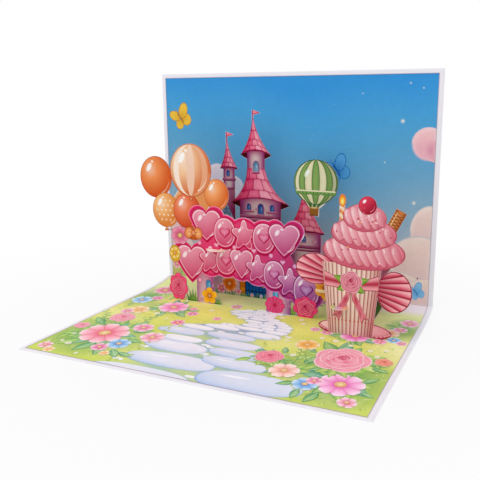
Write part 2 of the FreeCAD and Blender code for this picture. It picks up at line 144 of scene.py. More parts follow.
def grain(place, scale, detail=2.0):
    made = place.node("ShaderNodeTexNoise", {}, Vector=place, Scale=scale, Detail=detail)
    return Wire(place.tree, made.outputs["Fac"])


def tooth(shader, place, height, scale=2600.0):
    """The paper's own fine tooth, as relief."""
    bump = place.node("ShaderNodeBump", {}, Height=grain(place, scale, 3.0), Strength=0.25, Distance=height)
    place.tree.links.new(bump.outputs["Normal"], shader.inputs["Normal"])


def card_stock(name, code, roughness, cut_edge=None):
    material, shader, place = new_material(name, roughness)
    clouding = grain(place, 60.0) * 0.6 + grain(place, 900.0) * 0.4
    base = tone(code)
    mix = place.node("ShaderNodeMix", {"data_type": "RGBA"}, i0=clouding,
                     i6=(*(base * 0.955), 1), i7=(*np.minimum(base * 1.035, 1), 1))
    if cut_edge:
        turned = place.node("ShaderNodeSeparateXYZ", {}, Vector=Wire(
            place.tree, place.node("ShaderNodeNewGeometry").outputs["Normal"]))
        facing = Wire(place.tree, turned.outputs["Y"])
        mix = place.node("ShaderNodeMix", {"data_type": "RGBA"}, i0=facing * facing * -2.0 + 1.0,
                         i6=Wire(place.tree, mix.outputs[2]), i7=(*tone(cut_edge), 1))
    place.tree.links.new(mix.outputs[2], shader.inputs["Base Color"])
    tooth(shader, place, 0.00003)
    return material


white_card = card_stock("white card", "F2EFF5", 0.62)
coated_card = card_stock("coated card back", "EFECEE", 0.5)
liner_paper = card_stock("liner paper", "F0EDF4", 0.45)
layer_card = card_stock("printed card", "EFECEE", 0.5, "C88CA4")
for name, node in nodes.items():
    node.data.materials.clear()
    stock = (white_card if name == "cover" else liner_paper if name == "liner" else
             layer_card if name.endswith("layer") else coated_card)
    node.data.materials.append(stock)

# Liner print: sky and clouds on the upright panel, lawn, stone path and flowers on the base.
# It is four-colour ink on satin paper, laid here as thin films that lie over each other like the inks do.
MM = 0.001
FILM = 0.004 * MM
FIRST_FILM = 0.015 * MM


def printed(name, gloss=0.06):
    """Ink: each film's colours are held at its corners, with the faint mottle of print on satin stock."""
    material, shader, place = new_material(name, 0.5)
    shader.inputs["Specular IOR Level"].default_value = gloss
    ink = Wire(place.tree, place.node("ShaderNodeAttribute", {"attribute_name": "ink"}).outputs["Color"])
    mottle = grain(place, 1500.0, 1.0) * 0.55 + grain(place, 220.0) * 0.45
    level = place.node("ShaderNodeMapRange", {}, Value=mottle, From_Min=0.3, From_Max=0.7, To_Min=0.955,
                       To_Max=1.045)
    scaled = place.node("ShaderNodeVectorMath", {"operation": "SCALE"}, i0=ink,
                        Scale=Wire(place.tree, level.outputs[0]))
    place.tree.links.new(scaled.outputs[0], shader.inputs["Base Color"])
    sheen = mottle * 0.14 + 0.42
    place.tree.links.new(sheen.socket, shader.inputs["Roughness"])
    tooth(shader, place, 0.000015)
    return material


def mix(first, second, share):
    return first + (second - first) * min(max(share, 0.0), 1.0)


def ramp(stops, share):
    """Colour at a share from 0 to 1 along evenly spaced stops."""
    last = len(stops) - 1
    step = min(max(share, 0.0), 1.0) * last
    low = min(int(step), last - 1)
    return mix(stops[low], stops[low + 1], step - low)


class Print:
    """The films of one printed face. Places are in millimetres on the flat sheet."""

    def __init__(self, place):
        self.place = place
        self.corners, self.faces, self.colours = [], [], []
        self.boxes = np.zeros((0, 5))

    def over(self, points, level):
        """The film's height: one above the highest film under it, unless a level is given."""
        low, high = points.min(0) + 0.05, points.max(0) - 0.05
        if level is None:
            known = self.boxes
            under = known[(known[:, 0] < high[0]) & (known[:, 2] > low[0])
                          & (known[:, 1] < high[1]) & (known[:, 3] > low[1])]
            level = under[:, 4].max() + 1 if len(under) else 0
        self.boxes = np.vstack([self.boxes, [*low, *high, level]])
        return level

    def add(self, point, level, colour):
        self.corners.append(self.place(point[0], point[1], FIRST_FILM + FILM * level))
        self.colours.append(colour)

    def shape(self, outline, shade, rings=(1.0, 0.88, 0.62, 0.32), middle=None, level=None):
        """Closed outline filled by rings that close in on its middle. shade(x, y, depth) gives the colour."""
        points = np.asarray(outline, float)
        following = np.roll(points, -1, 0)
        if (points[:, 0] * following[:, 1] - following[:, 0] * points[:, 1]).sum() < 0:
            points = points[::-1]
        centre = points.mean(0) if middle is None else np.array(middle, float)
        level = self.over(points, level)
        shade = shade if callable(shade) else (lambda x, y, depth, flat=shade: flat)
        start, count = len(self.corners), len(points)
        for ring in rings:
            for point in centre + (points - centre) * ring:
                self.add(point, level, shade(point[0], point[1], 1 - ring))
        self.add(centre, level, shade(centre[0], centre[1], 1.0))
        for ring in range(len(rings)):
            outer = start + ring * count
            for i in range(count):
                j = (i + 1) % count
                if ring + 1 < len(rings):
                    self.faces.append((outer + i, outer + j, outer + count + j, outer + count + i))
                else:
                    self.faces.append((outer + i, outer + j, outer + count))
        return level

    def fill(self, outline, shade, level=None):
        """Closed outline of any form in colours that follow its corners."""
        points = np.asarray(outline, float)
        following = np.roll(points, -1, 0)
        if (points[:, 0] * following[:, 1] - following[:, 0] * points[:, 1]).sum() < 0:
            points = points[::-1]
        level = self.over(points, level)
        start = len(self.corners)
        for x, y in points:
            self.add((x, y), level, shade(x, y) if callable(shade) else shade)
        for face in tessellate_polygon([[Vector((x, y, 0)) for x, y in points]]):
            a, b, c = [Vector((*points[i], 0)) for i in face]
            turned = face if (b - a).cross(c - a).z > 0 else face[::-1]
            self.faces.append(tuple(start + i for i in turned))
        return level

    def patch(self, plan, across, up, shade, level=None):
        """Grid that plan(s, t) maps to the sheet, s from -1 to 1 and t from 0 to 1. shade(s, t) colours it."""
        s_values, t_values = np.linspace(-1, 1, across + 1), np.linspace(0, 1, up + 1)
        points = np.array([plan(s, t) for t in t_values for s in s_values])
        level = self.over(points, level)
        start, row = len(self.corners), across + 1
        for index, point in enumerate(points):
            self.add(point, level, shade(s_values[index % row], t_values[index // row]))
        a, b, c = points[0], points[1], points[row]
        flipped = (b[0] - a[0]) * (c[1] - a[1]) - (b[1] - a[1]) * (c[0] - a[0]) < 0
        for j in range(up):
            for i in range(across):
                k = start + j * row + i
                face = (k, k + 1, k + row + 1, k + row)
                self.faces.append(face[::-1] if flipped else face)
        return level

    def stroke(self, line, width, colour, taper=1.0, level=None):
        """Drawn line of a width that narrows to its share taper at the far end."""
        line = np.asarray(line, float)
        along = np.gradient(line, axis=0)
        along /= np.maximum(np.hypot(along[:, 0], along[:, 1]), 1e-9)[:, None]
        side = np.stack([-along[:, 1], along[:, 0]], 1)
        half = 0.5 * width * np.linspace(1, taper, len(line))[:, None]
        level = self.over(line, level)
        start, shares = len(self.corners), np.linspace(0, 1, len(line))
        for row, (right, left) in enumerate(zip(line - side * half, line + side * half)):
            ink = colour(shares[row]) if callable(colour) else colour
            self.add(right, level, ink)
            self.add(left, level, ink)
        for i in range(len(line) - 1):
            k = start + 2 * i
            self.faces.append((k, k + 2, k + 3, k + 1))
        return level

    def finish(self, name, material, density=1.0):
        """density is how heavily the inks lie: over 1 deepens them, most where they are dark."""
        mesh = bpy.data.meshes.new(name)
        mesh.from_pydata(self.corners, [], self.faces)
        ink = mesh.color_attributes.new("ink", "FLOAT_COLOR", "POINT")
        ink.data.foreach_set("color", np.c_[np.array(self.colours) ** density, np.ones(len(self.colours))].ravel())
        mesh.materials.append(material)
        mesh.update()
        piece = bpy.data.objects.new(name, mesh)
        bpy.context.scene.collection.objects.link(piece)
        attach(piece, "root")
        return piece


def oval(x, y, wide, tall, turn=0.0, count=36, square=1.0):
    """Ellipse by its half-widths. square under 1 pushes it towards a rectangle."""
    angle = np.linspace(0, 2 * math.pi, count, endpoint=False)
    c, s = np.cos(angle), np.sin(angle)
    u = wide * np.sign(c) * np.abs(c) ** square
    v = tall * np.sign(s) * np.abs(s) ** square
    ct, st = math.cos(turn), math.sin(turn)
    return np.stack([x + u * ct - v * st, y + u * st + v * ct], 1)


def leaf_outline(x, y, length, width, turn, count=12):
    """Leaf from its stalk at (x, y), pointed at the far end."""
    t = np.linspace(0, 1, count)
    half = width / 2 * np.sin(math.pi * t ** 0.8)
    u = np.r_[t, t[::-1][1:-1]] * length
    v = np.r_[-half, half[::-1][1:-1]]
    return np.stack([x + u * math.cos(turn) - v * math.sin(turn), y + u * math.sin(turn) + v * math.cos(turn)], 1)


def draw_leaf(ink, x, y, length, width, turn, dark="5F9A55", light="B5CF6A"):
    dark, light = tone(dark), tone(light)
    way = np.array([math.cos(turn), math.sin(turn)])
    middle = np.array([x, y]) + way * length * 0.45

    def shade(u, v, depth):
        along = ((u - x) * way[0] + (v - y) * way[1]) / length
        side = (-(u - x) * way[1] + (v - y) * way[0]) / width
        return mix(dark, mix(light, dark, 0.25 - side), min(1.0, depth * 2.5) * (0.35 + 0.65 * along) + 0.25 * along)

    ink.shape(leaf_outline(x, y, length, width, turn), shade, (1.0, 0.85, 0.6, 0.3), middle)
    rib = np.array([x, y]) + np.linspace(0.05, 0.9, 5)[:, None] * length * way
    ink.stroke(rib, width * 0.07, mix(light, tone("FFFFFF"), 0.35), 0.3)
    for share in (0.3, 0.5, 0.7):
        foot = np.array([x, y]) + share * length * way
        for side in (-1, 1):
            lean = turn + side * 0.75
            vein = [foot, foot + width * 0.3 * np.array([math.cos(lean), math.sin(lean)])]
            ink.stroke(vein, width * 0.035, mix(light, dark, 0.55), 0.4)


def draw_blossom(ink, x, y, size, petals, deep, light, eye="F3B35C", turn=0.3, squash=1.0):
    """Flower with broad round petals: deep at the eye, pale at the tips, with a dark seam between petals."""
    deep, light, eye = tone(deep), tone(light), tone(eye)
    seam, pale = mix(deep, tone("8A1F52"), 0.35), mix(light, tone("FFFFFF"), 0.72)
    thin, slice_half = size < 5, math.pi / petals
    for petal in range(petals):
        angle = turn + 2 * math.pi * petal / petals

        def shade(u, v, depth, angle=angle):
            share = math.hypot(u - x, (v - y) / squash) / size
            off = (math.atan2((v - y) / squash, u - x) - angle + math.pi) % (2 * math.pi) - math.pi
            body = ramp([seam, deep, mix(deep, light, 0.65), light, mix(light, pale, 0.35), pale], share)
            side = min(abs(off) / slice_half, 1.0) if share > 0.15 else 0.0
            body = mix(body, mix(seam, deep, share), (0.85 if depth < 0.02 else 0.5) * side ** 4)
            return mix(body, deep, 0.22 * max(off / slice_half, 0.0))

        sweep = np.linspace(-math.pi, math.pi, 15 if thin else 27)[:-1]
        notch = 0.05 * np.exp(-(sweep / 0.3) ** 2)
        u = size * (0.54 + 0.46 * np.cos(sweep) - notch)
        v = size * 1.06 * math.sin(slice_half) * np.sin(sweep) * (0.72 + 0.24 * np.cos(sweep))
        v = np.clip(v, -u * math.tan(slice_half) * 1.02, u * math.tan(slice_half) * 1.02)
        outline = np.stack([x + u * math.cos(angle) - v * math.sin(angle),
                            y + squash * (u * math.sin(angle) + v * math.cos(angle))], 1)
        middle = (x + size * 0.6 * math.cos(angle), y + squash * size * 0.6 * math.sin(angle))
        ink.shape(outline, shade, (1.0, 0.6) if thin else (1.0, 0.93, 0.8, 0.5), middle)
        for lean in () if thin else (-0.15, 0.0, 0.15):
            ray = np.linspace(0.25, 0.62 - abs(lean), 4)[:, None] * size
            way = np.array([math.cos(angle + lean), squash * math.sin(angle + lean)])
            ink.stroke(np.array([x, y]) + ray * way, size * 0.03, mix(deep, light, 0.12), 0.2)

    def eye_shade(u, v, depth):
        lit = 0.5 - (u - x) / size + (v - y) / size
        return mix(mix(eye, tone("B8601E"), 0.5), mix(eye, tone("FFF3C4"), 0.75), depth * 0.9 + 0.4 * lit)

    ink.shape(oval(x, y, size * 0.24, size * 0.24 * squash, count=18), eye_shade, (1.0, 0.8, 0.4))
    for dot in () if thin else range(7):
        angle = dot * 0.9
        ink.shape(oval(x + size * 0.13 * math.cos(angle), y + squash * size * 0.13 * math.sin(angle),
                       size * 0.026, size * 0.026, count=6), mix(eye, tone("A8501E"), 0.4), (1.0,))


def draw_rose(ink, x, y, size, deep="C73A66", light="F5A3B4", squash=1.0, turn=0.2):
    """Rose seen from the front: wide outer petals, then tighter turns about a curled heart."""
    deep, light = tone(deep), tone(light)
    pale = mix(light, tone("FFFFFF"), 0.45)
    for turn_index, (reach, wide, count) in enumerate(((0.50, 0.50, 5), (0.36, 0.42, 5), (0.22, 0.32, 4),
                                                       (0.10, 0.21, 3))):
        for petal in range(count):
            angle = turn + 0.7 * turn_index + 2 * math.pi * petal / count
            cx = x + size * reach * math.cos(angle)
            cy = y + squash * size * (reach * math.sin(angle) + 0.04 * turn_index)

            def shade(u, v, depth, cx=cx, cy=cy, angle=angle, wide=wide):
                out = ((u - cx) * math.cos(angle) + (v - cy) / squash * math.sin(angle)) / (size * wide)
                body = mix(deep, light, 0.42 + 0.58 * out)
                if depth < 0.02:
                    return mix(mix(deep, tone("8C1D4A"), 0.3), pale, max(out, 0) * 0.8)
                return mix(body, pale, max(out, 0) ** 0.6) if depth < 0.1 else mix(body, deep, 0.35 * (depth < 0.3))

            ink.shape(oval(cx, cy, size * wide * 0.86, size * wide * squash, angle, 24),
                      shade, (1.0, 0.95, 0.91, 0.85, 0.6, 0.3))
    angle = np.linspace(0, 3.6 * math.pi, 26)
    reach = size * 0.19 * (1 - angle / angle[-1] * 0.85)
    spiral = np.stack([x + reach * np.cos(angle), y + squash * (reach * np.sin(angle) + size * 0.12)], 1)
    ink.stroke(spiral, size * 0.045, mix(deep, tone("7A1840"), 0.45), 0.5)


def draw_butterfly(ink, x, z, size, deep, light, facing=1):
    """Butterfly seen at a slant: four rounded wings with a drawn outline, about a thin body."""
    deep, light = tone(deep), tone(light)
    for across, up, wide, tall, lean in ((-0.10, -0.42, 0.30, 0.34, 0.3), (-0.48, 0.14, 0.46, 0.32, -0.45),
                                         (0.42, -0.08, 0.38, 0.42, 0.3), (0.18, 0.50, 0.34, 0.56, -0.22)):
        cx, cz = x + facing * across * size, z + up * size

        def shade(u, v, depth):
            near = 1 - min(math.hypot(u - x, v - z) / size, 1)
            return deep if depth < 0.11 else mix(light, deep, 0.05 + 0.6 * near ** 2)

        ink.shape(oval(cx, cz, wide * size, tall * size, facing * lean, 30), shade, (1.0, 0.9, 0.87, 0.5, 0.25))
        for share in (-0.4, 0.0, 0.4):
            way = math.atan2(cz - z, cx - x) + share
            ray = np.linspace(0.15, 0.6, 3)[:, None] * size
            ink.stroke(np.array([x, z]) + ray * np.array([math.cos(way), math.sin(way)]), size * 0.035,
                       mix(deep, light, 0.35), 0.3)
    head = np.array([x - facing * 0.26 * size, z + 0.3 * size])
    ink.stroke([head, (x, z), (x + facing * 0.2 * size, z - 0.32 * size)], size * 0.13, mix(deep, tone("20304A"), 0.3), 0.5)
    for out in (-0.2, 0.12):
        ink.stroke([head, head + size * np.array([facing * out * 0.5, 0.2]), head + size * np.array([facing * out, 0.36])],
                   size * 0.04, deep, 0.6)


liner = nodes["liner"]
LINER_FACE = FOLD_Y - 0.6 * MM
PRINT_SIDE, PRINT_TOP, PRINT_FRONT = 96.9, 150.6, -72.9
SURE_HEIGHT = 0.03


def on_panel(x, z, lift):
    return (x * MM, LINER_FACE - lift, z * MM)


def on_base(x, y, lift):
    """The base curls up at the fold, so the film's height is found on the paper itself."""
    hit, place, normal, face = liner.ray_cast(Vector((x * MM, y * MM, SURE_HEIGHT)), Vector((0, 0, -1)))
    return (x * MM, y * MM, (place.z if hit else 0.6 * MM) + lift)


random.seed(7)
SKY = [tone(c) for c in ("DCC4CB", "CDC0C8", "AAB8C8", "88B0C8", "68A6CC", "52A2D0", "429FD8", "2E93DA")]


def sky(x, z):
    drift = 6 * math.sin(x / 37 + 1) + 3 * math.sin(x / 13 + z / 19)
    return ramp(SKY, (z + drift) / 150)


panel = Print(on_panel)
PANEL_FOOT = 3.9
panel.patch(lambda s, t: (s * PRINT_SIDE, PANEL_FOOT + t * (PRINT_TOP - PANEL_FOOT)), 60, 60,
            lambda s, t: sky(s * PRINT_SIDE, PANEL_FOOT + t * (PRINT_TOP - PANEL_FOOT)))


def cloud(lobes, body, shadow):
    """Heap of round lobes, soft at their lower edges."""
    body, shadow = tone(body), tone(shadow)
    for x, z, wide, tall in lobes:
        def shade(u, v, depth, x=x, z=z, tall=tall):
            up = (v - z) / tall
            inside = mix(mix(shadow, body, 0.6 + 0.5 * up), mix(body, tone("FFFFFF"), 0.4), (0.35 - depth) * 1.6)
            return mix(sky(u, v), inside, depth * 7) if up < 0.1 else mix(sky(u, v), inside, 0.3 + depth * 12)

        points = oval(x, z, wide, tall, count=44)
        points[:, 0] = points[:, 0].clip(-PRINT_SIDE, PRINT_SIDE)
        points[:, 1] = points[:, 1].clip(PANEL_FOOT, None)
        panel.shape(points, shade, (1.0, 0.97, 0.93, 0.85, 0.7, 0.5, 0.25), (min(x, PRINT_SIDE - 4), max(z, PANEL_FOOT + 3)))


cloud([(92.5, 108, 10.7, 10.7)], "F3C3C6", "E59DB2")
panel.shape(np.minimum(oval(95.5, 104, 6, 7, 0.5, 30), [[PRINT_SIDE, 200]]),
            lambda u, v, d: mix(mix(tone("F3C3C6"), tone("E59DB2"), 0.35), tone("D98CA8"), d * 0.9), (1.0, 0.7, 0.4))
cloud([(96, 52, 13, 18), (90, 30, 21, 20), (76, 14, 18, 11), (96, 10, 16, 12), (54, 8, 18, 8)], "F0D6CA", "DDBCC2")
cloud([(-56, 81, 10, 10), (-46, 75, 11, 8.5), (-63, 74, 9, 7), (-52, 70, 15, 5)], "E4D6DE", "C9C0D4")
cloud([(-88, 20, 13, 17), (-95, 38, 9, 13), (-76, 12, 12, 9)], "EBCBC8", "E2B4BC")
cloud([(0, 6, 26, 7), (30, 8, 20, 9), (-34, 7, 24, 8)], "E3C8D0", "D6B8C8")
for x, z, size, deep, light, facing in ((-85, 122.5, 10.5, "C98A14", "F6C83E", 1), (34, 89.5, 11, "0E68B8", "58A8DE", 1),
                                        (89, 12.5, 6.8, "3B94DA", "8CC8F0", 1)):
    draw_butterfly(panel, x, z, size, deep, light, facing)
for index in range(22):
    x, z = random.uniform(-90, 92), random.uniform(84, 147)
    size = random.uniform(0.14, 0.26)
    panel.shape(oval(x, z, size, size, count=8), mix(sky(x, z), tone("FFFFFF"), 0.3), (1.0,))
for x, z, size in ((76, 122, 1.5), (80, 145, 0.7), (88, 142, 0.6), (65.5, 96, 0.6), (85, 71, 1.4), (50, 139, 0.5)):
    glow = lambda u, v, depth: mix(sky(u, v), tone("FFF6E0"), depth ** 2 * 1.1)
    panel.shape(oval(x, z, size * 1.4, size * 1.4, count=16), glow, (1.0, 0.7, 0.4, 0.2))

# Foliage stands at the panel's lower left, and blue-green bushes meet the lawn there.
for x, wide, tall, dark, light in ((-93, 8, 11, "8DB05C", "D6DE8E"), (-80, 9, 6, "A9C46C", "E2E49A"),
                                   (-96, 6, 20, "B9B26A", "E9DDA0")):
    outline = oval(x, PANEL_FOOT, wide, tall, count=40)
    outline[:, 1] = outline[:, 1].clip(PANEL_FOOT, None)
    outline[:, 0] = outline[:, 0].clip(-PRINT_SIDE, PRINT_SIDE)
    green = lambda u, v, depth, tall=tall, dark=dark, light=light: mix(tone(dark), tone(light), (v - 4) / tall)
    panel.shape(outline, green, (1.0, 0.9, 0.5), (x, PANEL_FOOT + 0.5))
for x, z, size, deep, light in ((-91, 24, 3.4, "E0A02C", "F8D66A"), (-88, 38, 4.2, "D9607E", "F4AABC"),
                                (-93, 13, 3.6, "D9607E", "F4AABC")):
    draw_blossom(panel, x, z, size, 6, deep, light)


def edge_line(ink, corners, level=60):
    """The hairline of grey-mauve ink that frames the print."""
    for first, second in zip(corners, corners[1:]):
        line = [np.array(first) + (np.array(second) - np.array(first)) * t for t in np.linspace(0, 1, 40)]
        ink.stroke(line, 0.28, tone("B9A4B4"), 1.0, level=level)


panel.shape(oval(89.5, 22, 0.5, 0.55, count=12), tone("5A4038"), (1.0, 0.5))
edge_line(panel, [(-PRINT_SIDE, PANEL_FOOT), (-PRINT_SIDE, PRINT_TOP), (PRINT_SIDE, PRINT_TOP), (PRINT_SIDE, PANEL_FOOT)])
panel.finish("panel_print", printed("sky ink", 0.22))

CURL = FOLD_Y / MM - 32
BASE_BACK = FOLD_Y / MM - 0.75
CLUSTERS = ((-74, -42, 36, 30), (-62, 14, 20, 12), (76, -40, 32, 34), (66, 13, 20, 9), (-88, 30, 15, 24),
            (90, 36, 13, 22), (40, -38, 17, 16))


def lawn(x, y):
    """Sunny yellow-green, warmer far back, with deeper green round the flower beds, and painted light on the strip
    behind the layers.
    """
    back = (y + 75) / 150
    base = ramp([tone("CEDC5C"), tone("DAE466"), tone("E4E870"), tone("F2EA7C"), tone("F2E480"), tone("E6E892")], back)
    # Painted light: from y 34 to 39 the lawn turns towards pale yellow and stays so behind, where the layers stand and
    # shade it.
    base = mix(base, tone("FFFFC0"), 0.8 * min(1.0, max(0.0, (y - 34) / 5)))
    patches = math.sin(x / 9 + 2 * math.sin(y / 13)) * math.sin(y / 7 + 1.3 * math.sin(x / 11))
    base = mix(base, tone("B5CC50"), 0.2 + 0.2 * patches)
    base = mix(base, tone("F6F2B4"), 0.35 * max(0.0, math.sin(x / 17 + 1 + math.sin(y / 9)) * math.sin(y / 15 + 2)))
    for cx, cy, wide, tall in CLUSTERS:
        away = math.hypot((x - cx) / wide, (y - cy) / tall)
        base = mix(base, tone("4F9C62"), 0.85 * max(0.0, 1 - away) ** 0.7)
    base = mix(base, tone("FAF4D0"), 0.55 * max(0.0, 1 - math.hypot((x - 97) / 24, (y - 2) / 26)))
    # A pale hill and clouds lie along the fold at the right, and cooler bushes in front of them.
    if x > 62 and y > 52:
        base = mix(base, mix(tone("E4E6A4"), tone("F1E6EC"), (y - 58) / 8), min((x - 62) / 8, (y - 52) / 5, 1))
    return base


base = Print(on_base)
base.patch(lambda s, t: (s * PRINT_SIDE, PRINT_FRONT + t * (BASE_BACK - PRINT_FRONT)), 96, 84,
           lambda s, t: lawn(s * PRINT_SIDE, PRINT_FRONT + t * (BASE_BACK - PRINT_FRONT)))
for blade in range(2600):
    x = random.uniform(-PRINT_SIDE + 2, PRINT_SIDE - 2)
    y = random.uniform(PRINT_FRONT + 1, 40)
    length = random.uniform(1.2, 3.2) * (1.15 - (y + 75) / 200)
    lean = math.pi / 2 + random.uniform(-0.7, 0.7)
    colour = mix(lawn(x, y), tone(random.choice(("8DB843", "F6F2B8", "A5C653", "7FB45A", "FBFADC"))), random.uniform(0.25, 0.65))
    tip = (x + length * math.cos(lean), y + length * math.sin(lean))
    base.stroke([(x, y), ((x + tip[0]) / 2 + 0.1, (y + tip[1]) / 2), tip], length * 0.16, colour, 0.15, level=1)

for blade in range(420):
    x = random.choice((-1, 1)) * random.uniform(56, 93)
    y = random.uniform(PRINT_FRONT + 6, 34)
    length = random.uniform(3.0, 6.5) * (1.1 - (y + 75) / 230)
    lean = math.pi / 2 + random.uniform(-1.1, 1.1)
    if abs(x + length * math.cos(lean)) > PRINT_SIDE - 1:
        continue
    colour = mix(lawn(x, y), tone(random.choice(("7FB24C", "F4F2B4", "9CCB62", "F8F6D8", "6FA860"))), random.uniform(0.2, 0.5))
    base.shape(leaf_outline(x, y, length, 0.3 * length, lean),
               lambda u, v, d, colour=colour, x=x, y=y: mix(lawn(u, v), colour, min(1.0, 0.35 + 3 * d)), (1.0, 0.6),
               (x + 0.45 * length * math.cos(lean), y + 0.45 * length * math.sin(lean)))

# Stepping stones: pale lilac slabs with blue shaded edges, large in front and small far back.
STONES = ((-22, -76, 30, 8.5), (35, -64, 27, 10.6), (-14, -56, 26, 8.6), (-22, -38.5, 20, 7.6), (19, -47, 20, 6.2),
          (14, -35.3, 17, 5.2), (-25, -27.6, 14, 4.6), (7, -24.6, 17.5, 5.4), (-31.5, -17, 15, 5.2), (0, -14, 15.5, 4.7),
          (-25.5, -8.3, 11.5, 3.6), (-12, -2.6, 12.5, 3.4), (16.5, -6.2, 12, 4.4))
PATH = ((-75, 6, 54), (-62, 12, 50), (-50, 0, 40), (-40, -4, 36), (-26, -6, 31), (-14, -12, 32), (-6, -6, 31),
        (0, 4, 25), (5, 13, 16.5), (10, 14, 15), (15, 9, 15.5), (20, 0, 17), (25, -6, 16), (29, -3, 14), (33, 6, 13),
        (37, 15, 11), (41, 23, 7))


def path_at(y):
    ys = [row[0] for row in PATH]
    return np.interp(y, ys, [row[1] for row in PATH]), np.interp(y, ys, [row[2] for row in PATH])


def bed(s, t):
    y = PRINT_FRONT + t * (42 - PRINT_FRONT)
    middle, half = path_at(y)
    return min(max(middle + s * half, -PRINT_SIDE), PRINT_SIDE), y


def bed_shade(s, t):
    """Mossy between the big slabs, and grey-lilac joints where the path is laid close."""
    x, y = bed(s, t)
    joint = mix(tone("A5C4B4"), tone("C6D694"), 0.5 + 0.5 * math.sin(50 * t + 9 * s))
    joint = mix(joint, tone("A9B4C6"), (y + 14) / 8)
    return mix(joint, lawn(x, y), abs(s) ** (4 if y < -6 else 30))


base.patch(bed, 30, 60, bed_shade)


def draw_stone(x, y, wide, deep, number, clear=1.0):
    """One slab: a blue line round it, light from above left, and a cool shade towards its front edge."""
    outline = oval(x, y, wide, deep, 0.04 * math.sin(number), 44, 0.86 if wide > 9 else 0.72)
    bump = 1 + 0.035 * np.sin(2 * np.linspace(0, 2 * math.pi, 44, endpoint=False) + number) \
        + 0.02 * np.sin(3 * np.linspace(0, 2 * math.pi, 44, endpoint=False) + 2 * number)
    outline = np.array([x, y]) + (outline - [x, y]) * bump[:, None]
    outline[:, 0] = outline[:, 0].clip(-PRINT_SIDE, PRINT_SIDE)
    outline[:, 1] = outline[:, 1].clip(PRINT_FRONT, None)
    pale = mix(tone("F1EEF7"), tone("E0E5F4"), 0.5 + 0.5 * math.sin(1.7 * number))
    pale = mix(pale, tone("FFFDFB"), 0.75) if wide < 15 else pale
    centre_y = max(y + 0.1 * deep, PRINT_FRONT + 0.3 * deep)

    def stone(u, v, depth):
        low = 0.5 - 0.5 * (v - y) / deep - 0.18 * (u - x) / wide
        if depth < 0.01:
            return mix(tone("7FA6DC"), tone("9DBCE4"), clear - low)
        if depth < 0.06:
            return mix(tone("DFE6F5"), tone("9FBDE8"), max(low, 0) ** 1.4)
        return mix(pale, tone("A9C4EC"), 0.85 * clear ** 2 * max(low, 0) ** 2.2 * (1 - depth) ** 1.3)

    base.shape(outline, stone, (1.0, 0.965, 0.93, 0.8, 0.6, 0.35), (x - 0.08 * wide, centre_y))


row_y, number = 1.6, 20
while row_y < 40:
    deep = 4.6 - 0.05 * row_y
    middle, half = path_at(row_y)
    count = 3 if half > 12 else 2
    widths = np.array([1 + 0.3 * math.sin(3.1 * number + 1.9 * k) for k in range(count)])
    edges = -1 + 2 * np.r_[0, np.cumsum(widths / widths.sum())]
    for k in range(count):
        left, right = middle + edges[k] * half, middle + edges[k + 1] * half
        draw_stone((left + right) / 2, row_y + 0.22 * deep * math.sin(2.3 * k + number), (right - left) / 2 * 1.03,
                   deep * 0.6, number + k, 0.7)
    row_y += deep * 0.94
    number += 1
for x, y, size in ((-2, -18.5, 3.4), (-6, -21.5, 2.6), (-7, -30.8, 3.0), (-3.5, -32.5, 2.4), (-2, -41.5, 3.2), (1.5, -44, 2.4),
                   (5, -51, 3.4), (-38, -45, 3.0), (-9, -9.5, 2.6), (3.5, -6.5, 2.8), (-40, -11, 2.4), (24, -27, 2.8),
                   (33, -37, 2.6), (13, -66, 4.2), (6, -68.5, 3.2), (-41, -64.5, 3.4), (-4, 3, 2.4), (31, -2, 2.2)):
    draw_stone(x, y, size, size * 0.4, x, 0.6)
for number, (x, y, wide, deep) in enumerate(STONES):
    draw_stone(x, y, wide, deep, number)
    glint = oval(x - 0.3 * wide, y + 0.36 * deep, wide * 0.34, deep * 0.12, 0.05, 16)
    glint[:, 1] = glint[:, 1].clip(PRINT_FRONT, None)
    base.shape(glint, lambda u, v, depth: mix(tone("EFEDF7"), tone("FFFFFF"), depth), (1.0, 0.5))
for index in range(170):
    y = PRINT_FRONT + 3 + random.random() * 108
    middle, half = path_at(y)
    side = random.choice((-1, 1))
    x = middle + side * half * random.uniform(0.95, 1.08)
    if abs(x) > PRINT_SIDE - 5:
        continue
    for blade in range(4):
        lean = math.pi / 2 + 0.45 * (blade - 1.5)
        length = random.uniform(1.2, 2.6) * (1.1 - (y + 75) / 190)
        base.stroke([(x, y), (x + length * math.cos(lean), y + length * math.sin(lean))], 0.5 * length / 2,
                    mix(tone("A6C956"), tone("E9E88A"), random.random()), 0.1, level=30 + (4 * index + blade) % 12)

# Flower beds: the bigger blooms stand in leaves, and small ones are dotted over the lawn.
for x, y, reach, count in ((-71, -38, 25, 12), (74, -44, 24, 12), (69, -19, 27, 9), (-59, 17, 17, 8), (-84, 42, 12, 7),
                           (66, 14, 17, 9), (46, -42, 14, 7), (33, -31, 14, 6), (-88, 22, 12, 5), (88, 38, 12, 7)):
    for k in range(2 * count):
        angle = math.pi * k / count + 0.4 * math.sin(5 * k)
        length = reach * random.uniform(0.42, 0.7)
        start = (x + reach * 0.3 * math.cos(angle), y + reach * 0.27 * math.sin(angle))
        far = start[0] + length * math.cos(angle), start[1] + length * 0.7 * math.sin(angle)
        if abs(far[0]) > PRINT_SIDE - 2 or abs(start[0]) > PRINT_SIDE - 3 or far[1] < PRINT_FRONT + 2:
            continue
        dark, light = random.choice((("4C9A5C", "B4D880"), ("63AC4E", "CFE478"), ("4A9A86", "A4D2A4"), ("82BA4C", "E2EC94")))
        draw_leaf(base, start[0], start[1], length, length * 0.46, angle, dark, light)
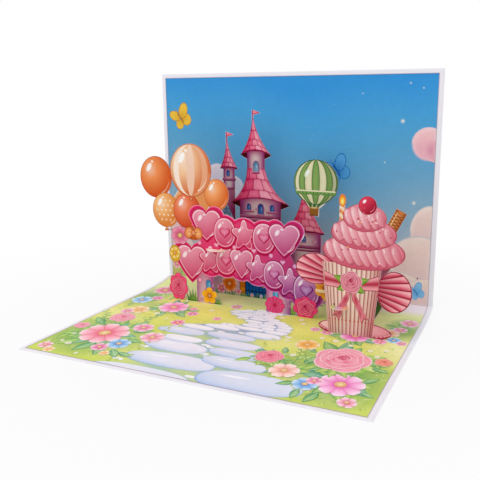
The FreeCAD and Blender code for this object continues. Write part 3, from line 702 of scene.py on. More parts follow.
for x, y, length, turn in ((-66, -50, 17, -1.9), (-60, -52, 15, -1.3), (-77, -50, 16, -2.3), (-84, -44, 11, -2.9),
                           (-85, -36, 10, 2.9), (-82, -26, 14, 2.5), (-57, -30, 13, 0.5), (-54, -41, 12, -0.1),
                           (-51, -56, 12, -0.8), (-45, -58, 10, -0.3), (-90, -46, 9, -1.8), (-70, -24, 13, 1.9),
                           (-62, -24, 13, 1.2), (52, -32, 15, 1.1), (40, -37, 13, 2.3), (57, -38, 14, 0.4),
                           (63, -34, 13, -0.4), (72, -38, 14, 0.9), (86, -42, 10, 0.8), (88, -52, 8, -0.4),
                           (82, -58, 12, -1.2), (70, -60, 12, -1.9), (56, -54, 10, -2.6), (60, -60, 10, -1.6),
                           (53, -16, 10, 2.6), (86, -24, 10, -0.3), (38, -24, 9, 1.9), (24, -36, 10, -2.4),
                           (-68, 12, 11, -2.4), (-52, 10, 12, -0.6), (-60, 8, 11, -1.5), (-48, 16, 9, 0.1)):
    dark, light = random.choice((("3C9060", "B4DC8C"), ("57A848", "D4E87C"), ("46986E", "BEE09A")))
    draw_leaf(base, x, y, length, length * 0.44, turn, dark, light)


def draw_sprig(x, y, length, turn, bend):
    """Thin stem with pairs of small leaves."""
    points, lean = [(x, y)], turn
    for step in range(8):
        lean += bend / 8
        points.append((points[-1][0] + length / 8 * math.cos(lean), points[-1][1] + length / 8 * math.sin(lean)))
    base.stroke(points, 0.45, tone("6FA35A"), 0.5)
    for index in range(2, 9):
        side = 1 if index % 2 else -1
        size = length * (0.26 - 0.012 * index)
        draw_leaf(base, *points[index], size, size * 0.42, turn + bend * index / 8 + side * 0.8, "6FAA5C", "C9DE86")


for x, y, length, turn, bend in ((-74, -20, 24, 2.2, -0.9), (-86, -24, 20, 1.7, 0.6), (-60, -18, 18, 1.9, -0.7),
                                 (47, -34, 20, 1.55, 0.3), (88, -30, 18, 1.2, 0.5), (-72, 26, 14, 1.2, 0.6),
                                 (54, -30, 14, 2.3, -0.4), (-90, 4, 16, 1.4, 0.4), (78, 20, 12, 0.8, 0.7)):
    draw_sprig(x, y, length, turn, bend)
FLOWERS = (
    (-71, -38, 15.5, 8, "F0607E", "FFB0C0"), (77, -48, 12.5, 8, "EC60B4", "FFBEE4"),
    (-59, 17, 10.5, 7, "EE62A8", "FFB4DA"), (46, -44, 8.4, 6, "F49A88", "FFDACC"),
    (61, -54, 6.8, 6, "4E95DC", "A3D0F5"), (-53, -48, 7.0, 6, "4E95DC", "A3D0F5"),
    (-41, -33, 7.6, 6, "EE7896", "FBC3D0"), (-55, -22, 6.6, 6, "E5689A", "F9B4CE"),
    (-60, -56, 5.2, 5, "DF5E93", "F6A6C6"), (45, -8, 7.2, 6, "F09A34", "FBCE70"),
    (66, 15, 9.4, 7, "E04CA4", "F79AD4"), (83, 27, 6.6, 6, "F09862", "FCCDAA"),
    (-88, 22, 7.4, 6, "5C9EDE", "B3D8F5"), (-77, 4, 7.0, 6, "F4A95C", "FCDAA2"),
    (88, 17, 4.4, 5, "4E95DC", "A3D0F5"), (81, 12, 4.4, 5, "E5689A", "F9B4CE"),
    (85, -64, 5.0, 6, "EE7896", "FBC3D0"), (-90, -65, 4.4, 5, "EE7896", "FBC3D0"),
    (-85, 46, 8.6, 7, "E4577A", "F8A6BA"), (91, 47, 6.0, 6, "E5689A", "F9B4CE"), (88, 34, 4.6, 5, "E5689A", "F9B4CE"),
    (49, 14, 4.0, 5, "E5689A", "F9B4CE"), (64, -49, 4.4, 5, "E5689A", "F9B4CE"), (93, 14, 3.4, 5, "E5689A", "F9B4CE"),
    (-84, -69, 3.4, 5, "F4A95C", "FCDAA2"), (-52, -62, 3.2, 5, "F4A95C", "FCDAA2"), (30, 62, 3.0, 5, "E5689A", "F9B4CE"),
    (-41, 11, 4.0, 5, "E05AA2", "F6A6D0"), (-45, 19, 3.0, 5, "E5689A", "F9B4CE"), (-22, 9, 3.0, 5, "E5689A", "F9B4CE"),
    (-21, 34, 4.4, 5, "D8809C", "EDB0B8"), (-83, -1, 4.4, 5, "E5689A", "F9B4CE"), (41, 16, 3.4, 5, "E5689A", "F9B4CE"),
    (-41, -6.5, 4.8, 5, "E4577A", "F8A6BA"), (-80, 29, 4.4, 5, "E05AA2", "F6A6D0"))
for index, (x, y, size, petals, deep, light) in enumerate(FLOWERS):
    draw_blossom(base, x, y, size, petals, deep, light, turn=0.3 + 0.7 * index)
for x, y, size, deep, light in ((69, -20, 17, "E45C80", "FFC0CC"), (32, -31, 8.8, "E04E70", "FF9EAE"),
                                (-78, -12, 9.0, "E8708C", "FCB4C2"), (-92, -33, 5.4, "E8708C", "FCB0C0"),
                                (90, -15, 5.4, "E0604E", "FBA98C")):
    for k in range(5):
        if abs(x) < 85:
            draw_leaf(base, x, y - size * 0.5, size * 0.86, size * 0.36, -math.pi / 2 + 0.62 * (k - 2), "6FA656", "CBDF7A")
    draw_rose(base, x, y, size, deep, light)
for index in range(90):
    x, y = random.uniform(-90, 90), random.uniform(-68, 32)
    middle, half = path_at(y)
    size = random.uniform(0.7, 1.35)
    crowded = any(math.hypot(x - f[0], y - f[1]) < f[2] + 2 for f in FLOWERS) or math.hypot(x - 69, y + 20) < 19
    if abs(x - middle) < half + 4 or crowded:
        continue
    for petal in range(5):
        angle = petal * 1.257
        base.shape(oval(x + size * math.cos(angle), y + size * math.sin(angle), size * 0.62, size * 0.62, count=9),
                   mix(lawn(x, y), tone("FFFFFF"), 0.72), (1.0,), level=40 + petal)
    base.shape(oval(x, y, size * 0.5, size * 0.5, count=8), tone("F4DC70"), (1.0,), level=46)
edge_line(base, [(-PRINT_SIDE, BASE_BACK), (-PRINT_SIDE, PRINT_FRONT), (PRINT_SIDE, PRINT_FRONT), (PRINT_SIDE, BASE_BACK)], 50)
base.finish("base_print", printed("lawn ink", 0.22))

# Castle layer: the rearmost die-cut, printed with a pink castle, a blue side roof and a striped air balloon.
# The cut follows the drawing so closely that hardly any white card shows round the ink.
CASTLE_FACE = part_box("castle_layer")[0].y
EDGE = 0.05
castle = Print(lambda x, z, lift: (x * MM, CASTLE_FACE - lift, z * MM))
CASTLE_FOOT = 1.15
WHITE = tone("FFFFFF")
MAUVE = [tone(c) for c in ("8A1E5A", "AE6A94", "D4B6B8", "DAC9C4", "CDAAB2", "B06A94", "862C62")]


def round_face(middle, half, sag, turn=1.2):
    """Place on a round tower: s from -1 to 1 goes across it, narrowing to the sides, and courses sag."""
    def place(s, z):
        across = math.sin(s * turn) / math.sin(turn)
        return middle + half * across, z - sag * (1 - across * across)
    return place


def band(ink, place, low, high, shade, across=14, up=2):
    return ink.patch(lambda s, t: place(s, low + t * (high - low)), across, up, shade)


def slab(place, left, right, low, high):
    """Outline of a rounded brick or tile on a tower's face."""
    outline = oval((left + right) / 2, (low + high) / 2, (right - left) / 2, (high - low) / 2, count=16, square=0.55)
    return np.array([place(s, z) for s, z in outline])


def draw_masonry(ink, place, low, high, course, across, shades, chance=0.5):
    """Loose courses of bricks, some of them drawn, over a plain wall."""
    z, row = low, 0
    while z + course < high:
        for k in range(-across, across + 1):
            if random.random() > chance:
                continue
            middle = (k + 0.5 * (row % 2)) / across
            left, right = max(middle - 0.44 / across, -0.97), min(middle + 0.44 / across, 0.97)
            if right - left < 0.4 / across:
                continue
            body = mix(tone("D9A9AE"), tone("C8889E"), random.random())
            shaded = mix(body, shades[-1], 0.5 * max(0.0, middle) ** 1.5 + 0.3 * max(0.0, -middle) ** 3)

            def brick(u, v, depth, shaded=shaded):
                return mix(shaded, tone("9C4A78"), 0.45) if depth < 0.02 else mix(shaded, WHITE, 0.12 * depth)

            ink.shape(slab(place, left, right, z + 0.12 * course, z + 0.88 * course), brick, (1.0, 0.86, 0.5))
        z += course
        row += 1


def draw_ring(ink, place, low, high, dark="8E2C5E", light="CF8AA6"):
    """Moulded stone ring round a tower: lit above, with a shadow line below it."""
    dark, light = tone(dark), tone(light)
    tall = high - low
    band(ink, place, low - 0.35 * tall, low + 0.1 * tall, lambda s, t: mix(dark, tone("5E1848"), 0.5), up=1)
    band(ink, place, low, high, lambda s, t: mix(mix(dark, light, 0.25 + 0.75 * t), dark, 0.65 * abs(s + 0.25) ** 2))


def arch_outline(x, z, half, tall):
    """Window or door opening with a round head. (x, z) is the middle of its sill."""
    angle = np.linspace(0, math.pi, 11)
    head = z + tall - 1.2 * half
    return np.r_[[(x - half, z), (x + half, z)],
                 np.stack([x + half * np.cos(angle), head + 1.2 * half * np.sin(angle)], 1)]


def draw_window(ink, x, z, half, tall, deep="2A4F8E", pale="5A86B8"):
    """Blue window in a narrow mauve stone frame, darker at its sides, with a small sill."""
    deep, pale, frame = tone(deep), tone(pale), tone("A8608E")
    ink.shape(arch_outline(x, z - 0.2 * half, 1.34 * half, tall + 0.5 * half),
              lambda u, v, depth: mix(tone("D9A9B8"), frame, 0.5 + 0.5 * (u - x) / half), (1.0, 0.8))
    ink.shape(arch_outline(x, z, 1.08 * half, tall + 0.1 * half), mix(deep, frame, 0.4), (1.0, 0.8))

    def pane(u, v, depth):
        up = (v - z) / tall
        return mix(mix(pale, deep, up ** 1.3), mix(deep, tone("10204E"), 0.5), 0.5 * max(0.0, (x - u) / half))

    ink.shape(arch_outline(x, z, 0.92 * half, tall - 0.15 * half), pane, (1.0, 0.7, 0.35))
    ink.shape(oval(x + 0.4 * half, z + 0.5 * tall, 0.16 * half, 0.2 * tall, count=10), mix(pale, WHITE, 0.22), (1.0,))
    ink.fill(slab(lambda s, v: (s, v), x - 1.75 * half, x + 1.75 * half, z - 0.75 * half, z - 0.1 * half),
             lambda u, v: mix(tone("E0AAB8"), tone("A8487E"), 0.5 - (v - z + 0.4 * half) / half))


def draw_soffit(ink, middle, width, eave, drop, rise):
    """Dark underside of a roof's overhang, which shows on both sides of the wall that carries the roof."""
    half = width / 2 - 2 * EDGE
    ink.patch(lambda s, t: (middle + s * half, eave + (1 - s * s) * (t * rise - (1 - t) * (drop - EDGE))), 24, 3,
              lambda s, t: mix(tone("8A0B44"), tone("460206"), abs(s) ** 1.3 + 0.15 * (1 - t)))


def draw_roof(ink, middle, width, eave, tip, lean, top, sag, rise, rows, tile, deeper=0.0):
    """Hat-shaped roof seen from below: rows of rounded pink tiles up to a leaning tip, over a curled rim."""
    dark, deepest = tone("A0185C"), tone("5A0414")
    faces = [mix(tone(c), tone("C40038"), deeper) for c in ("D00854", "DE2A6C", "EE7298", "F8B0C0", "F29CB0", "E26A8E")]

    def flank(side, t):
        foot, crown = np.array([middle + side * width / 2, eave]), np.array([lean + side * top, tip])
        chord = crown - foot
        inward = np.array([-chord[1], chord[0]]) * side / np.hypot(*chord)
        return foot + chord * t + inward * sag * 4 * t * (1 - t)

    def place(s, t):
        left, right = flank(-1, t), flank(1, t)
        share = 0.5 + 0.5 * s * max(0.0, 1 - 2 * EDGE / (right[0] - left[0]))
        x, z = left + (right - left) * share
        return x, z + (rise * (1 - s * s) + 0.5 * EDGE) * (1 - t)

    ink.patch(place, 20, 24, lambda s, t: mix(mix(tone("C01460"), tone("D25A88"), 0.5 + 0.5 * s), tone("980A4A"), 0.6 * s ** 8))
    first_reach = width / 2
    for row in range(len(rows) - 2, -1, -1):
        low, high = rows[row], rows[row + 1]
        middle_t = (low + high) / 2
        reach = (flank(1, middle_t)[0] - flank(-1, middle_t)[0]) / 2
        step = tile * (reach / first_reach) ** 0.45 / reach
        joint_s, joint_t = 0.13 / reach, 0.13 / (tip - eave)
        count = int(1.35 / step) + 1
        for k in range(-count - 1, count + 1):
            first = max((k + 0.5 * (row % 2)) * step, -1.35)
            last = min((k + 1 + 0.5 * (row % 2)) * step, 1.35)
            if last - first < 0.3 * min(step, 1.0):
                continue
            s0, s1 = math.sin(first), math.sin(last)
            centre = place((s0 + s1) / 2, middle_t)
            face = mix(ramp(faces, 0.5 + 0.25 * (s0 + s1)), tone("F4B0C0"), 0.15 * random.random())
            outline = [place(s, min(t, 0.995)) for s, t in oval(
                (s0 + s1) / 2, middle_t, (s1 - s0) / 2 - joint_s, (high - low) / 2 - joint_t, count=28, square=0.34)]
            half_tile = max(0.4, reach * (s1 - s0) / 2)

            def shade(u, v, depth, face=face, centre=centre, half_tile=half_tile):
                if depth < 0.03:
                    return mix(face, dark, 0.55)
                side = (u - centre[0]) / half_tile
                return mix(mix(face, dark, 0.2), mix(face, WHITE, 0.12), 0.3 + 0.7 * depth + 0.25 * side)

            ink.shape(outline, shade, (1.0, 0.93, 0.8, 0.5, 0.25), centre)
            if half_tile > 1.8:
                tall = (high - low) * (tip - eave)
                ink.stroke([(centre[0] - 0.6 * half_tile, centre[1] + 0.24 * tall),
                            (centre[0] - 0.66 * half_tile, centre[1] - 0.02 * tall),
                            (centre[0] - 0.52 * half_tile, centre[1] - 0.26 * tall)], 0.3, mix(face, WHITE, 0.35), 0.2)
    rim = 1.0 / (tip - eave)
    ink.patch(lambda s, t: place(s, t * rim * (0.35 + 0.65 * math.sqrt(1 - s * s))), 28, 2,
              lambda s, t: mix(mix(tone("8A0844"), tone("B42A6C"), t), deepest, 0.9 * abs(s) ** 5))


def draw_tower(ink, middle, width, low, high, sag=0.9, course=3.0, across=3, chance=0.45):
    place = round_face(middle, width / 2 - EDGE, sag)
    band(ink, place, low, high, lambda s, t: mix(ramp(MAUVE, (s + 1) / 2), tone("A63C74"), 0.8 * max(
        0.0, 1 - (1 - t) * (high - low) / 4.5) ** 1.3), up=12)
    draw_masonry(ink, place, low + 0.4, high - 0.8, course, across, MAUVE, chance)
    return place


# Towers and the side wing, from the rearmost forward. The wing has a blue-grey tiled roof.
draw_soffit(castle, -36.3, 13.5, 89.7, 0.5, 0.8)
draw_tower(castle, -36.3, 8.6, 48, 90.3, 0.15, 2.6, 2, 0.12)
band(castle, round_face(-36.3, 4.3 - EDGE, 0.15), 48, 76.4,
     lambda s, t: mix(ramp([tone(c) for c in ("C8809E", "B05A86", "A0306A", "82103C")], (s + 1) / 2), MAUVE[2], 0.35 * t ** 4))
draw_ring(castle, round_face(-36.3, 5.0 - EDGE, 0.2), 82.1, 83.5)
draw_ring(castle, round_face(-36.3, 4.3 - EDGE, 0.2), 76.2, 77.5)
draw_window(castle, -37.1, 84.8, 1.2, 3.9)
draw_roof(castle, -36.3, 13.5, 89.7, 109.6, -37.8, 0.3, 1.2, 0.8, (0.04, 0.19, 0.38, 0.64, 1.0), 3.3)
SIDE_ROOF = (-43.0, 13.5, 3.0, 48.0, 71.0)


def side_roof(s, t):
    middle, half, ridge, low, high = SIDE_ROOF
    return middle + s * (half + (ridge - half) * t - EDGE), low + t * (high - low - EDGE)


castle.patch(side_roof, 10, 10, lambda s, t: mix(tone("57738C"), tone("7D96AC"), 0.5 + 0.4 * s * (1 - t)))
for row in range(8):
    count = max(2, round(5.6 * (1 - row / 11)))
    for k in range(count + 1):
        left = -1 + 2 * (k - 0.5 * (row % 2)) / count
        left, right = max(left + 0.03, -0.98), min(left + 2 / count - 0.03, 0.98)
        if right - left < 0.12:
            continue
        face = mix(tone("7490A8"), tone("93A8B8"), random.random())
        castle.shape(np.array([side_roof(s, t) for s, t in oval((left + right) / 2, (row + 0.5) / 8, (right - left) / 2,
                                                                0.055, count=14, square=0.5)]),
                     lambda u, v, depth, face=face: mix(face, tone("4A6A88"), 0.45) if depth < 0.02 else
                     mix(face, WHITE, 0.12 * depth), (1.0, 0.84, 0.4))
flat_wall = lambda s, z: (-12.75 + s * (43.75 - EDGE), z)
band(castle, flat_wall, CASTLE_FOOT, 48 - EDGE,
     lambda s, t: mix(mix(tone("C9A3B8"), tone("DDBFCB"), 0.5 + 0.5 * math.sin(9 * s)), tone("8A5A95"), 0.45 * t), 40, 8)
draw_masonry(castle, flat_wall, 2.5, 47.5, 4.0, 8, MAUVE, 0.35)
draw_soffit(castle, -13.3, 42.8, 67, 5.8, 3.7)
draw_tower(castle, -13.3, 30.4, 40, 70.4, -0.4, 3.0, 5, 0.1)
main_place = round_face(-13.3, 15.2 - EDGE, -0.2)
draw_ring(castle, main_place, 57.4, 59.2)
draw_ring(castle, main_place, 55.0, 56.6)
for x, wide in ((-21.8, 4.3), (-4.6, 4.2)):
    castle.fill(slab(lambda s, v: (s, v), x - wide, x + wide, 60.9, 62.3),
                lambda u, v: mix(tone("A23A6C"), tone("CF8AA0"), (v - 60.9) / 1.4))
for x, low, half, tall in ((-21.8, 62.5, 1.45, 4.3), (-13.0, 60.2, 1.95, 6.9), (-4.6, 62.5, 1.5, 4.4)):
    draw_window(castle, x, low, half, tall)
draw_soffit(castle, -16.2, 22.5, 99.4, 3.6, 2.9)
draw_tower(castle, -16.2, 12.9, 88, 101.8, -0.3, 2.7, 2, 0.1)
draw_roof(castle, -13.3, 42.8, 67, 90.6, -16.2, 6.45, 3.0, 3.7, (0.045, 0.36, 0.72, 1.0), 9.4)
draw_window(castle, -16.2, 88.6, 1.95, 6.8, "6288A6", "9CBCCC")
castle.fill(slab(lambda s, v: (s, v), -19.0, -13.4, 86.9, 88.4),
            lambda u, v: mix(tone("A83A70"), tone("D07898"), (v - 86.9) / 1.5))
draw_roof(castle, -16.2, 22.5, 99.4, 124, -18.2, 0.3, 2.0, 2.9, (0.045, 0.19, 0.38, 0.65, 1.0), 4.7)
draw_soffit(castle, 19.2, 27, 49.8, 1.0, 0.9)
draw_tower(castle, 19.2, 21.4, CASTLE_FOOT, 50.6, 0.3, 3.2, 3, 0.12)
right_place = round_face(19.2, 10.7 - EDGE, 0.3)
draw_ring(castle, right_place, 40.4, 42.2)
draw_ring(castle, right_place, 38.2, 39.4)
draw_window(castle, 18.1, 44.0, 1.3, 3.9)
draw_window(castle, 21.5, 25.0, 1.5, 5.4)
draw_roof(castle, 19.2, 27, 49.8, 84, 18.4, 0.3, 2.8, 0.9, (0.025, 0.13, 0.28, 0.43, 0.58, 0.74, 1.0), 6.6, 0.35)
for x, tip in ((-18.2, 124), (-37.8, 109.6)):
    castle.fill([(x - 0.4, tip - 2), (x + 0.4, tip - 2), (x + 0.4, tip + 4.7), (x - 0.4, tip + 4.7)], tone("B23A78"))
    castle.fill([(x + 0.2, tip + 4.6), (x + 5.2, tip + 3.0), (x + 0.2, tip + 1.4)],
                lambda u, v, x=x: mix(tone("E8788E"), tone("D04468"), (u - x) / 5))
    castle.fill([(x + 0.4, tip + 4.1), (x + 3.4, tip + 3.1), (x + 0.4, tip + 2.7)], tone("F3A6B4"))

# Gate in the wall: deep blue planks between golden stone jambs, with grass and flowers at its foot.
castle.shape(arch_outline(-17, CASTLE_FOOT, 12.4, 25), tone("5A3A1E"), (1.0, 0.8))
castle.shape(arch_outline(-17, CASTLE_FOOT, 12.0, 24.5), lambda u, v, d: mix(tone("E29A2E"), tone("B8661E"), d * 2), (1.0, 0.8))
for side in (-1, 1):
    for course in range(6):
        low = CASTLE_FOOT + 0.5 + 3.1 * course
        face = mix(tone("F0A424"), tone("CC7612"), random.random())
        castle.shape(slab(lambda s, z: (s, z), -17 + side * 10.1 - 1.75, -17 + side * 10.1 + 1.75, low, low + 2.8),
                     lambda u, v, depth, face=face: mix(face, tone("8A4A14"), 0.6) if depth < 0.02 else face,
                     (1.0, 0.84, 0.4))
castle.shape(arch_outline(-17, CASTLE_FOOT, 8.2, 19.5), tone("0A2C4E"), (1.0, 0.8))
for plank in range(6):
    left = -24.7 + 2.57 * plank
    castle.patch(lambda s, t, left=left: (left + 1.28 + s * 1.19, 2.0 + t * (15.8 - 0.35 * abs(left + 18.3))), 4, 5,
                 lambda s, t: mix(mix(tone("1684D0"), tone("0A58A0"), 0.3 + 0.5 * t), tone("0A2C4E"), abs(s) ** 5 * 0.6))
for height in (5.2, 12.6):
    castle.fill([(-24.6, height), (-9.4, height), (-9.4, height + 0.7), (-24.6, height + 0.7)], tone("0B3358"))
castle.shape(oval(-11.6, 9.2, 0.55, 0.55, count=10), tone("E8B04A"), (1.0, 0.5))
for index in range(120):
    x = -51 + 81 * random.random()
    tall = random.uniform(1.5, 4.2)
    lean = random.uniform(-0.8, 0.8)
    green = random.choice(("3F8F6A", "5FA65A", "8CC06A", "2F7F70", "A9CF6B"))
    castle.stroke([(x, CASTLE_FOOT), (x + 0.4 * lean, CASTLE_FOOT + 0.5 * tall), (x + lean, CASTLE_FOOT + tall)], 0.9,
                  mix(tone(green), WHITE, 0.1), 0.1)
draw_blossom(castle, -37.4, 9, 6.4, 6, "DC6A0C", "F08E22", "E07A14")
for x, z, size, deep, light in ((-44, 5, 3.4, "D84C88", "F49ABC"), (-30.5, 4, 2.2, "D84C88", "F7B4CC"),
                                (-20, 2.6, 1.3, "E88AAA", "F9CBD8"), (-13, 2.7, 1.3, "B8A0D8", "E4D8F2"),
                                (-7, 3.2, 1.6, "E88AAA", "F9CBD8"), (-3, 5.2, 2.6, "F0A040", "F9D080"),
                                (12, 4, 3, "D84C88", "F49ABC"), (26, 4.4, 3.2, "F0A040", "F9D080")):
    draw_blossom(castle, x, z, size, 5, deep, light)

# Air balloon: green and cream gores that meet at the crown, over a woven basket on four cords.
AIR = (26.0, 83.5, 15.0 - EDGE, 14.5 - EDGE)
castle.fill([(21.8, 67.3), (28.2, 67.3), (37.6, 75.4), (14.4, 75.4)], lambda u, v: mix(tone("4F7F52"), tone("86A86C"), (v - 67) / 8))
for side in (-1, -0.35, 0.35, 1):
    castle.stroke([(25 + 3 * side, 67.2), (26 + 6.5 * side, 71), (26 + 11 * side, 75.6)], 0.55, tone("E9E2C0"), 0.8)


def gore(s, t):
    x, z, wide, tall = AIR
    angle = math.pi * (t - 0.5)
    return x + s * wide * math.cos(angle), z + tall * math.sin(angle)


for index in range(9):
    first, last = math.sin(math.pi * (index / 9 - 0.5)), math.sin(math.pi * ((index + 1) / 9 - 0.5))
    pair = (("6E9A55", "A5C07C") if index % 2 == 0 else ("D8D2A4", "F2EED2"))
    castle.patch(lambda s, t, a=first, b=last: gore(a + (b - a) * (s + 1) / 2, t), 4, 18,
                 lambda s, t, pair=pair, m=(first + last) / 2:
                 mix(mix(tone(pair[0]), tone(pair[1]), 0.35 + 0.5 * math.sin(math.pi * t) - 0.55 * abs(s) ** 2),
                     tone("3F6A3A"), 0.5 * max(0.0, m) ** 2 + 0.25 * max(0.0, -t + 0.35)))
for index in range(10):
    s = math.sin(math.pi * (index / 9 - 0.5)) * 0.995
    castle.stroke([gore(s, t) for t in np.linspace(0.02, 0.98, 15)], 0.3, tone("47713F"), 1.0)
for index in range(11):
    s = -0.92 + 1.84 * index / 10
    x, z = gore(s, 0.36)
    castle.shape(oval(x, z - 0.4, 1.45, 1.6, count=14), lambda u, v, d: mix(tone("4E7F46"), tone("8FB56C"), d * 3), (1.0, 0.8, 0.4))
castle.stroke([gore(s, 0.375) for s in np.linspace(-0.97, 0.97, 21)], 0.9, tone("F0EACB"), 1.0)
castle.shape(oval(20.4, 89.3, 1.6, 3.2, -0.5, 18), lambda u, v, d: mix(tone("CFE0A8"), WHITE, 0.3 + d), (1.0, 0.6))
castle.patch(lambda s, t: (25 + s * (2.9 + 0.35 * t), 61.9 + 5.2 * t), 10, 6,
             lambda s, t: mix(tone("C99550"), tone("7F5222"), 0.5 + 0.5 * math.sin(14 * s) * math.sin(19 * t)))
castle.patch(lambda s, t: (25 + s * 3.4, 66.6 + 0.9 * t), 8, 1, lambda s, t: mix(tone("F0DCA6"), tone("B98A48"), abs(s)))
castle.patch(lambda s, t: (25 + s * 3.0, 61.8 + 0.6 * t), 8, 1, lambda s, t: tone("8A5A2A"))
castle.finish("castle_print", printed("castle ink"), 1.3)

# Arch layer: a double row of glossy puffed shapes stands on two tower legs, with balloons and flowers round it.
# It is one die-cut sheet. Its scalloped outline was cut along the outer pink line.
ARCH_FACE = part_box("arch_layer")[0].y
arch = Print(lambda x, z, lift: (x * MM, ARCH_FACE - lift, z * MM))


def draw_grass(ink, x, low, width, height):
    for blade in (-2, 2, -1, 1, 0):
        foot, tip = x + blade * width / 8, (x + blade * width / 4, low + height * (1 - 0.09 * blade * blade) - 0.8)
        half = width / 7 - EDGE
        green = mix(tone("4E8E18"), tone("9CC224"), 0.5 + 0.22 * blade)
        ink.fill([(foot - half, low + 0.1), (foot + half, low + 0.1), tip],
                 lambda u, v, green=green: mix(mix(green, tone("2E620E"), 0.5), green, (v - low) / 4))
        ink.stroke([(foot, low + 1), tip], 0.35, mix(green, WHITE, 0.35), 0.2)


for x, low, width, height in ((-54, 0.7, 10, 10), (-34.6, 0.7, 6, 7), (17.5, 0.7, 9, 8.5)):
    draw_grass(arch, x, low, width, height)
# Legs: pale round towers with a blue lancet window each, shaded purple on both sides.
for middle, width, window in ((-44, 13, -41.6), (9.5, 17, 7.4)):
    place = round_face(middle, width / 2 - EDGE, 0.4)
    band(arch, place, 0.8, 25, lambda s, t: mix(ramp([tone(c) for c in ("A4609C", "D2AEC0", "E4D0D2", "DEC4CA", "BE8CB4",
                                                                        "8E4C92")], (s + 1) / 2), tone("C4407A"), 0.75 * t ** 1.6), up=6)
    draw_masonry(arch, place, 1.5, 17, 3.4, 3, [tone("8A5FA6")], 0.22)
    draw_window(arch, window, 11.2, 1.8, 6.0, "3C88B8", "7CC0DC")

arch.shape(oval(-52, 48.5, 7 - EDGE, 5 - EDGE), lambda u, v, d: mix(tone("C8602A"), tone("E8924E"), d), (1.0, 0.7, 0.3))
BALLOONS = (("balloon_left", -80, 84.5, 12.5, 14, "D9652B", "F2A269"), ("balloon_low", -73, 62.5, 10.5, 11.8, "E08A3C", "F7C48A"),
            ("balloon_mid", -56.5, 63, 10.5, 12, "D4562F", "F0926A"), ("balloon_right", -34, 75, 9, 10.4, "DE7430", "F6B27A"),
            ("balloon_big", -53, 90, 15.5, 17.5, "DD7A42", "F8D3AE"))
# Card behind the strings: pale peach, lighter at its middle.
arch.fill([(-72.6, 62.5), (-52, 49.0), (-34.4, 75), (-53, 89)], lambda u, v: mix(tone("E39A5E"), tone("F0B98A"), 0.5 - (u + 53) / 40))
for label, x, z, wide, tall, deep, light in BALLOONS:
    neck = np.array([x, z - tall - 1.2])
    knot_at = np.array([-52.0, 49.5])
    t = np.linspace(0, 1, 9)[:, None]
    bend = np.sin(math.pi * t) * np.array([(x + 53) * 0.06, 0])
    arch.stroke(neck + (knot_at - neck) * t + bend, 0.5, tone("B4572A"), 0.8)


def draw_balloon(ink, x, z, wide, tall, deep, light, pattern):
    """Filled balloon: soft light from the upper left, a rim that picks up colour, a glint and a knot."""
    deep, light = tone(deep), tone(light)
    rim = mix(deep, tone("8F2A12"), 0.45)
    wide, tall = wide - EDGE, tall - EDGE
    knot = 2.2

    def shade(u, v, depth):
        a, b = (u - x) / wide, (v - z) / tall
        away = math.hypot(a + 0.34, b - 0.36)
        body = ramp([mix(light, WHITE, 0.4), light, mix(light, deep, 0.55), deep], away / 1.35)
        edge = math.hypot(a, b)
        body = mix(body, light, 0.45 * max(0.0, (edge - 0.8) / 0.2) * (1 if b < 0 and a > 0 else 0))
        return rim if depth < 0.01 else body

    ink.fill([(x - 0.7 * knot, z - tall - knot - 0.1), (x + 0.7 * knot, z - tall - knot - 0.1), (x, z - tall + 0.8)], rim)
    ink.fill([(x - 0.4 * knot, z - tall - knot + 0.25), (x + 0.4 * knot, z - tall - knot + 0.25), (x, z - tall + 0.4)],
             mix(deep, light, 0.4))
    ink.shape(oval(x, z, wide, tall, count=44), shade, (1.0, 0.955, 0.86, 0.7, 0.5, 0.3, 0.14))
    if pattern == "dots":
        for row in range(-3, 4):
            for k in range(-3, 4):
                u, v = (k + 0.5 * (row % 2)) * 0.33, row * 0.28
                if math.hypot(u, v) < 0.84:
                    squeeze = math.sqrt(1 - min(0.96, u * u + v * v))
                    ink.shape(oval(x + u * wide, z + v * tall, 0.07 * wide * (0.5 + 0.5 * squeeze), 0.07 * wide, count=12),
                              mix(light, WHITE, 0.62 - 0.3 * math.hypot(u + 0.3, v - 0.3)), (1.0, 0.5))
    if pattern == "stripes":
        for k in (-2, 0, 2):
            angle = np.linspace(-0.47 * math.pi, 0.47 * math.pi, 14)
            low = math.sin(0.42 * (k - 0.5))
            high = math.sin(0.42 * (k + 0.5))
            ink.patch(lambda s, t, low=low, high=high: (
                x + wide * math.cos(math.pi * (t - 0.5)) * (low + (high - low) * (s + 1) / 2) * 0.97,
                z + tall * math.sin(math.pi * (t - 0.5)) * 0.965), 3, 14,
                lambda s, t, k=k: mix(mix(light, WHITE, 0.55), mix(light, deep, 0.5), 0.25 + 0.22 * k + 0.35 * (1 - t)))
    ink.shape(oval(x - 0.42 * wide, z + 0.46 * tall, 0.13 * wide, 0.24 * tall, -0.55, 20),
              lambda u, v, d: mix(mix(light, WHITE, 0.55), WHITE, 0.4 + d), (1.0, 0.6))
    ink.shape(oval(x - 0.2 * wide, z + 0.74 * tall, 0.08 * wide, 0.05 * tall, -0.3, 12), mix(light, WHITE, 0.8), (1.0,))
    shine = [(x + 0.83 * wide * math.cos(a), z + 0.83 * tall * math.sin(a)) for a in np.linspace(-1.15, -0.25, 9)]
    ink.stroke(shine, 0.06 * wide, mix(light, WHITE, 0.35), 0.2)


for (label, x, z, wide, tall, deep, light), pattern in zip(BALLOONS, ("plain", "dots", "plain", "plain", "stripes")):
    draw_balloon(arch, x, z, wide, tall, deep, light, pattern)


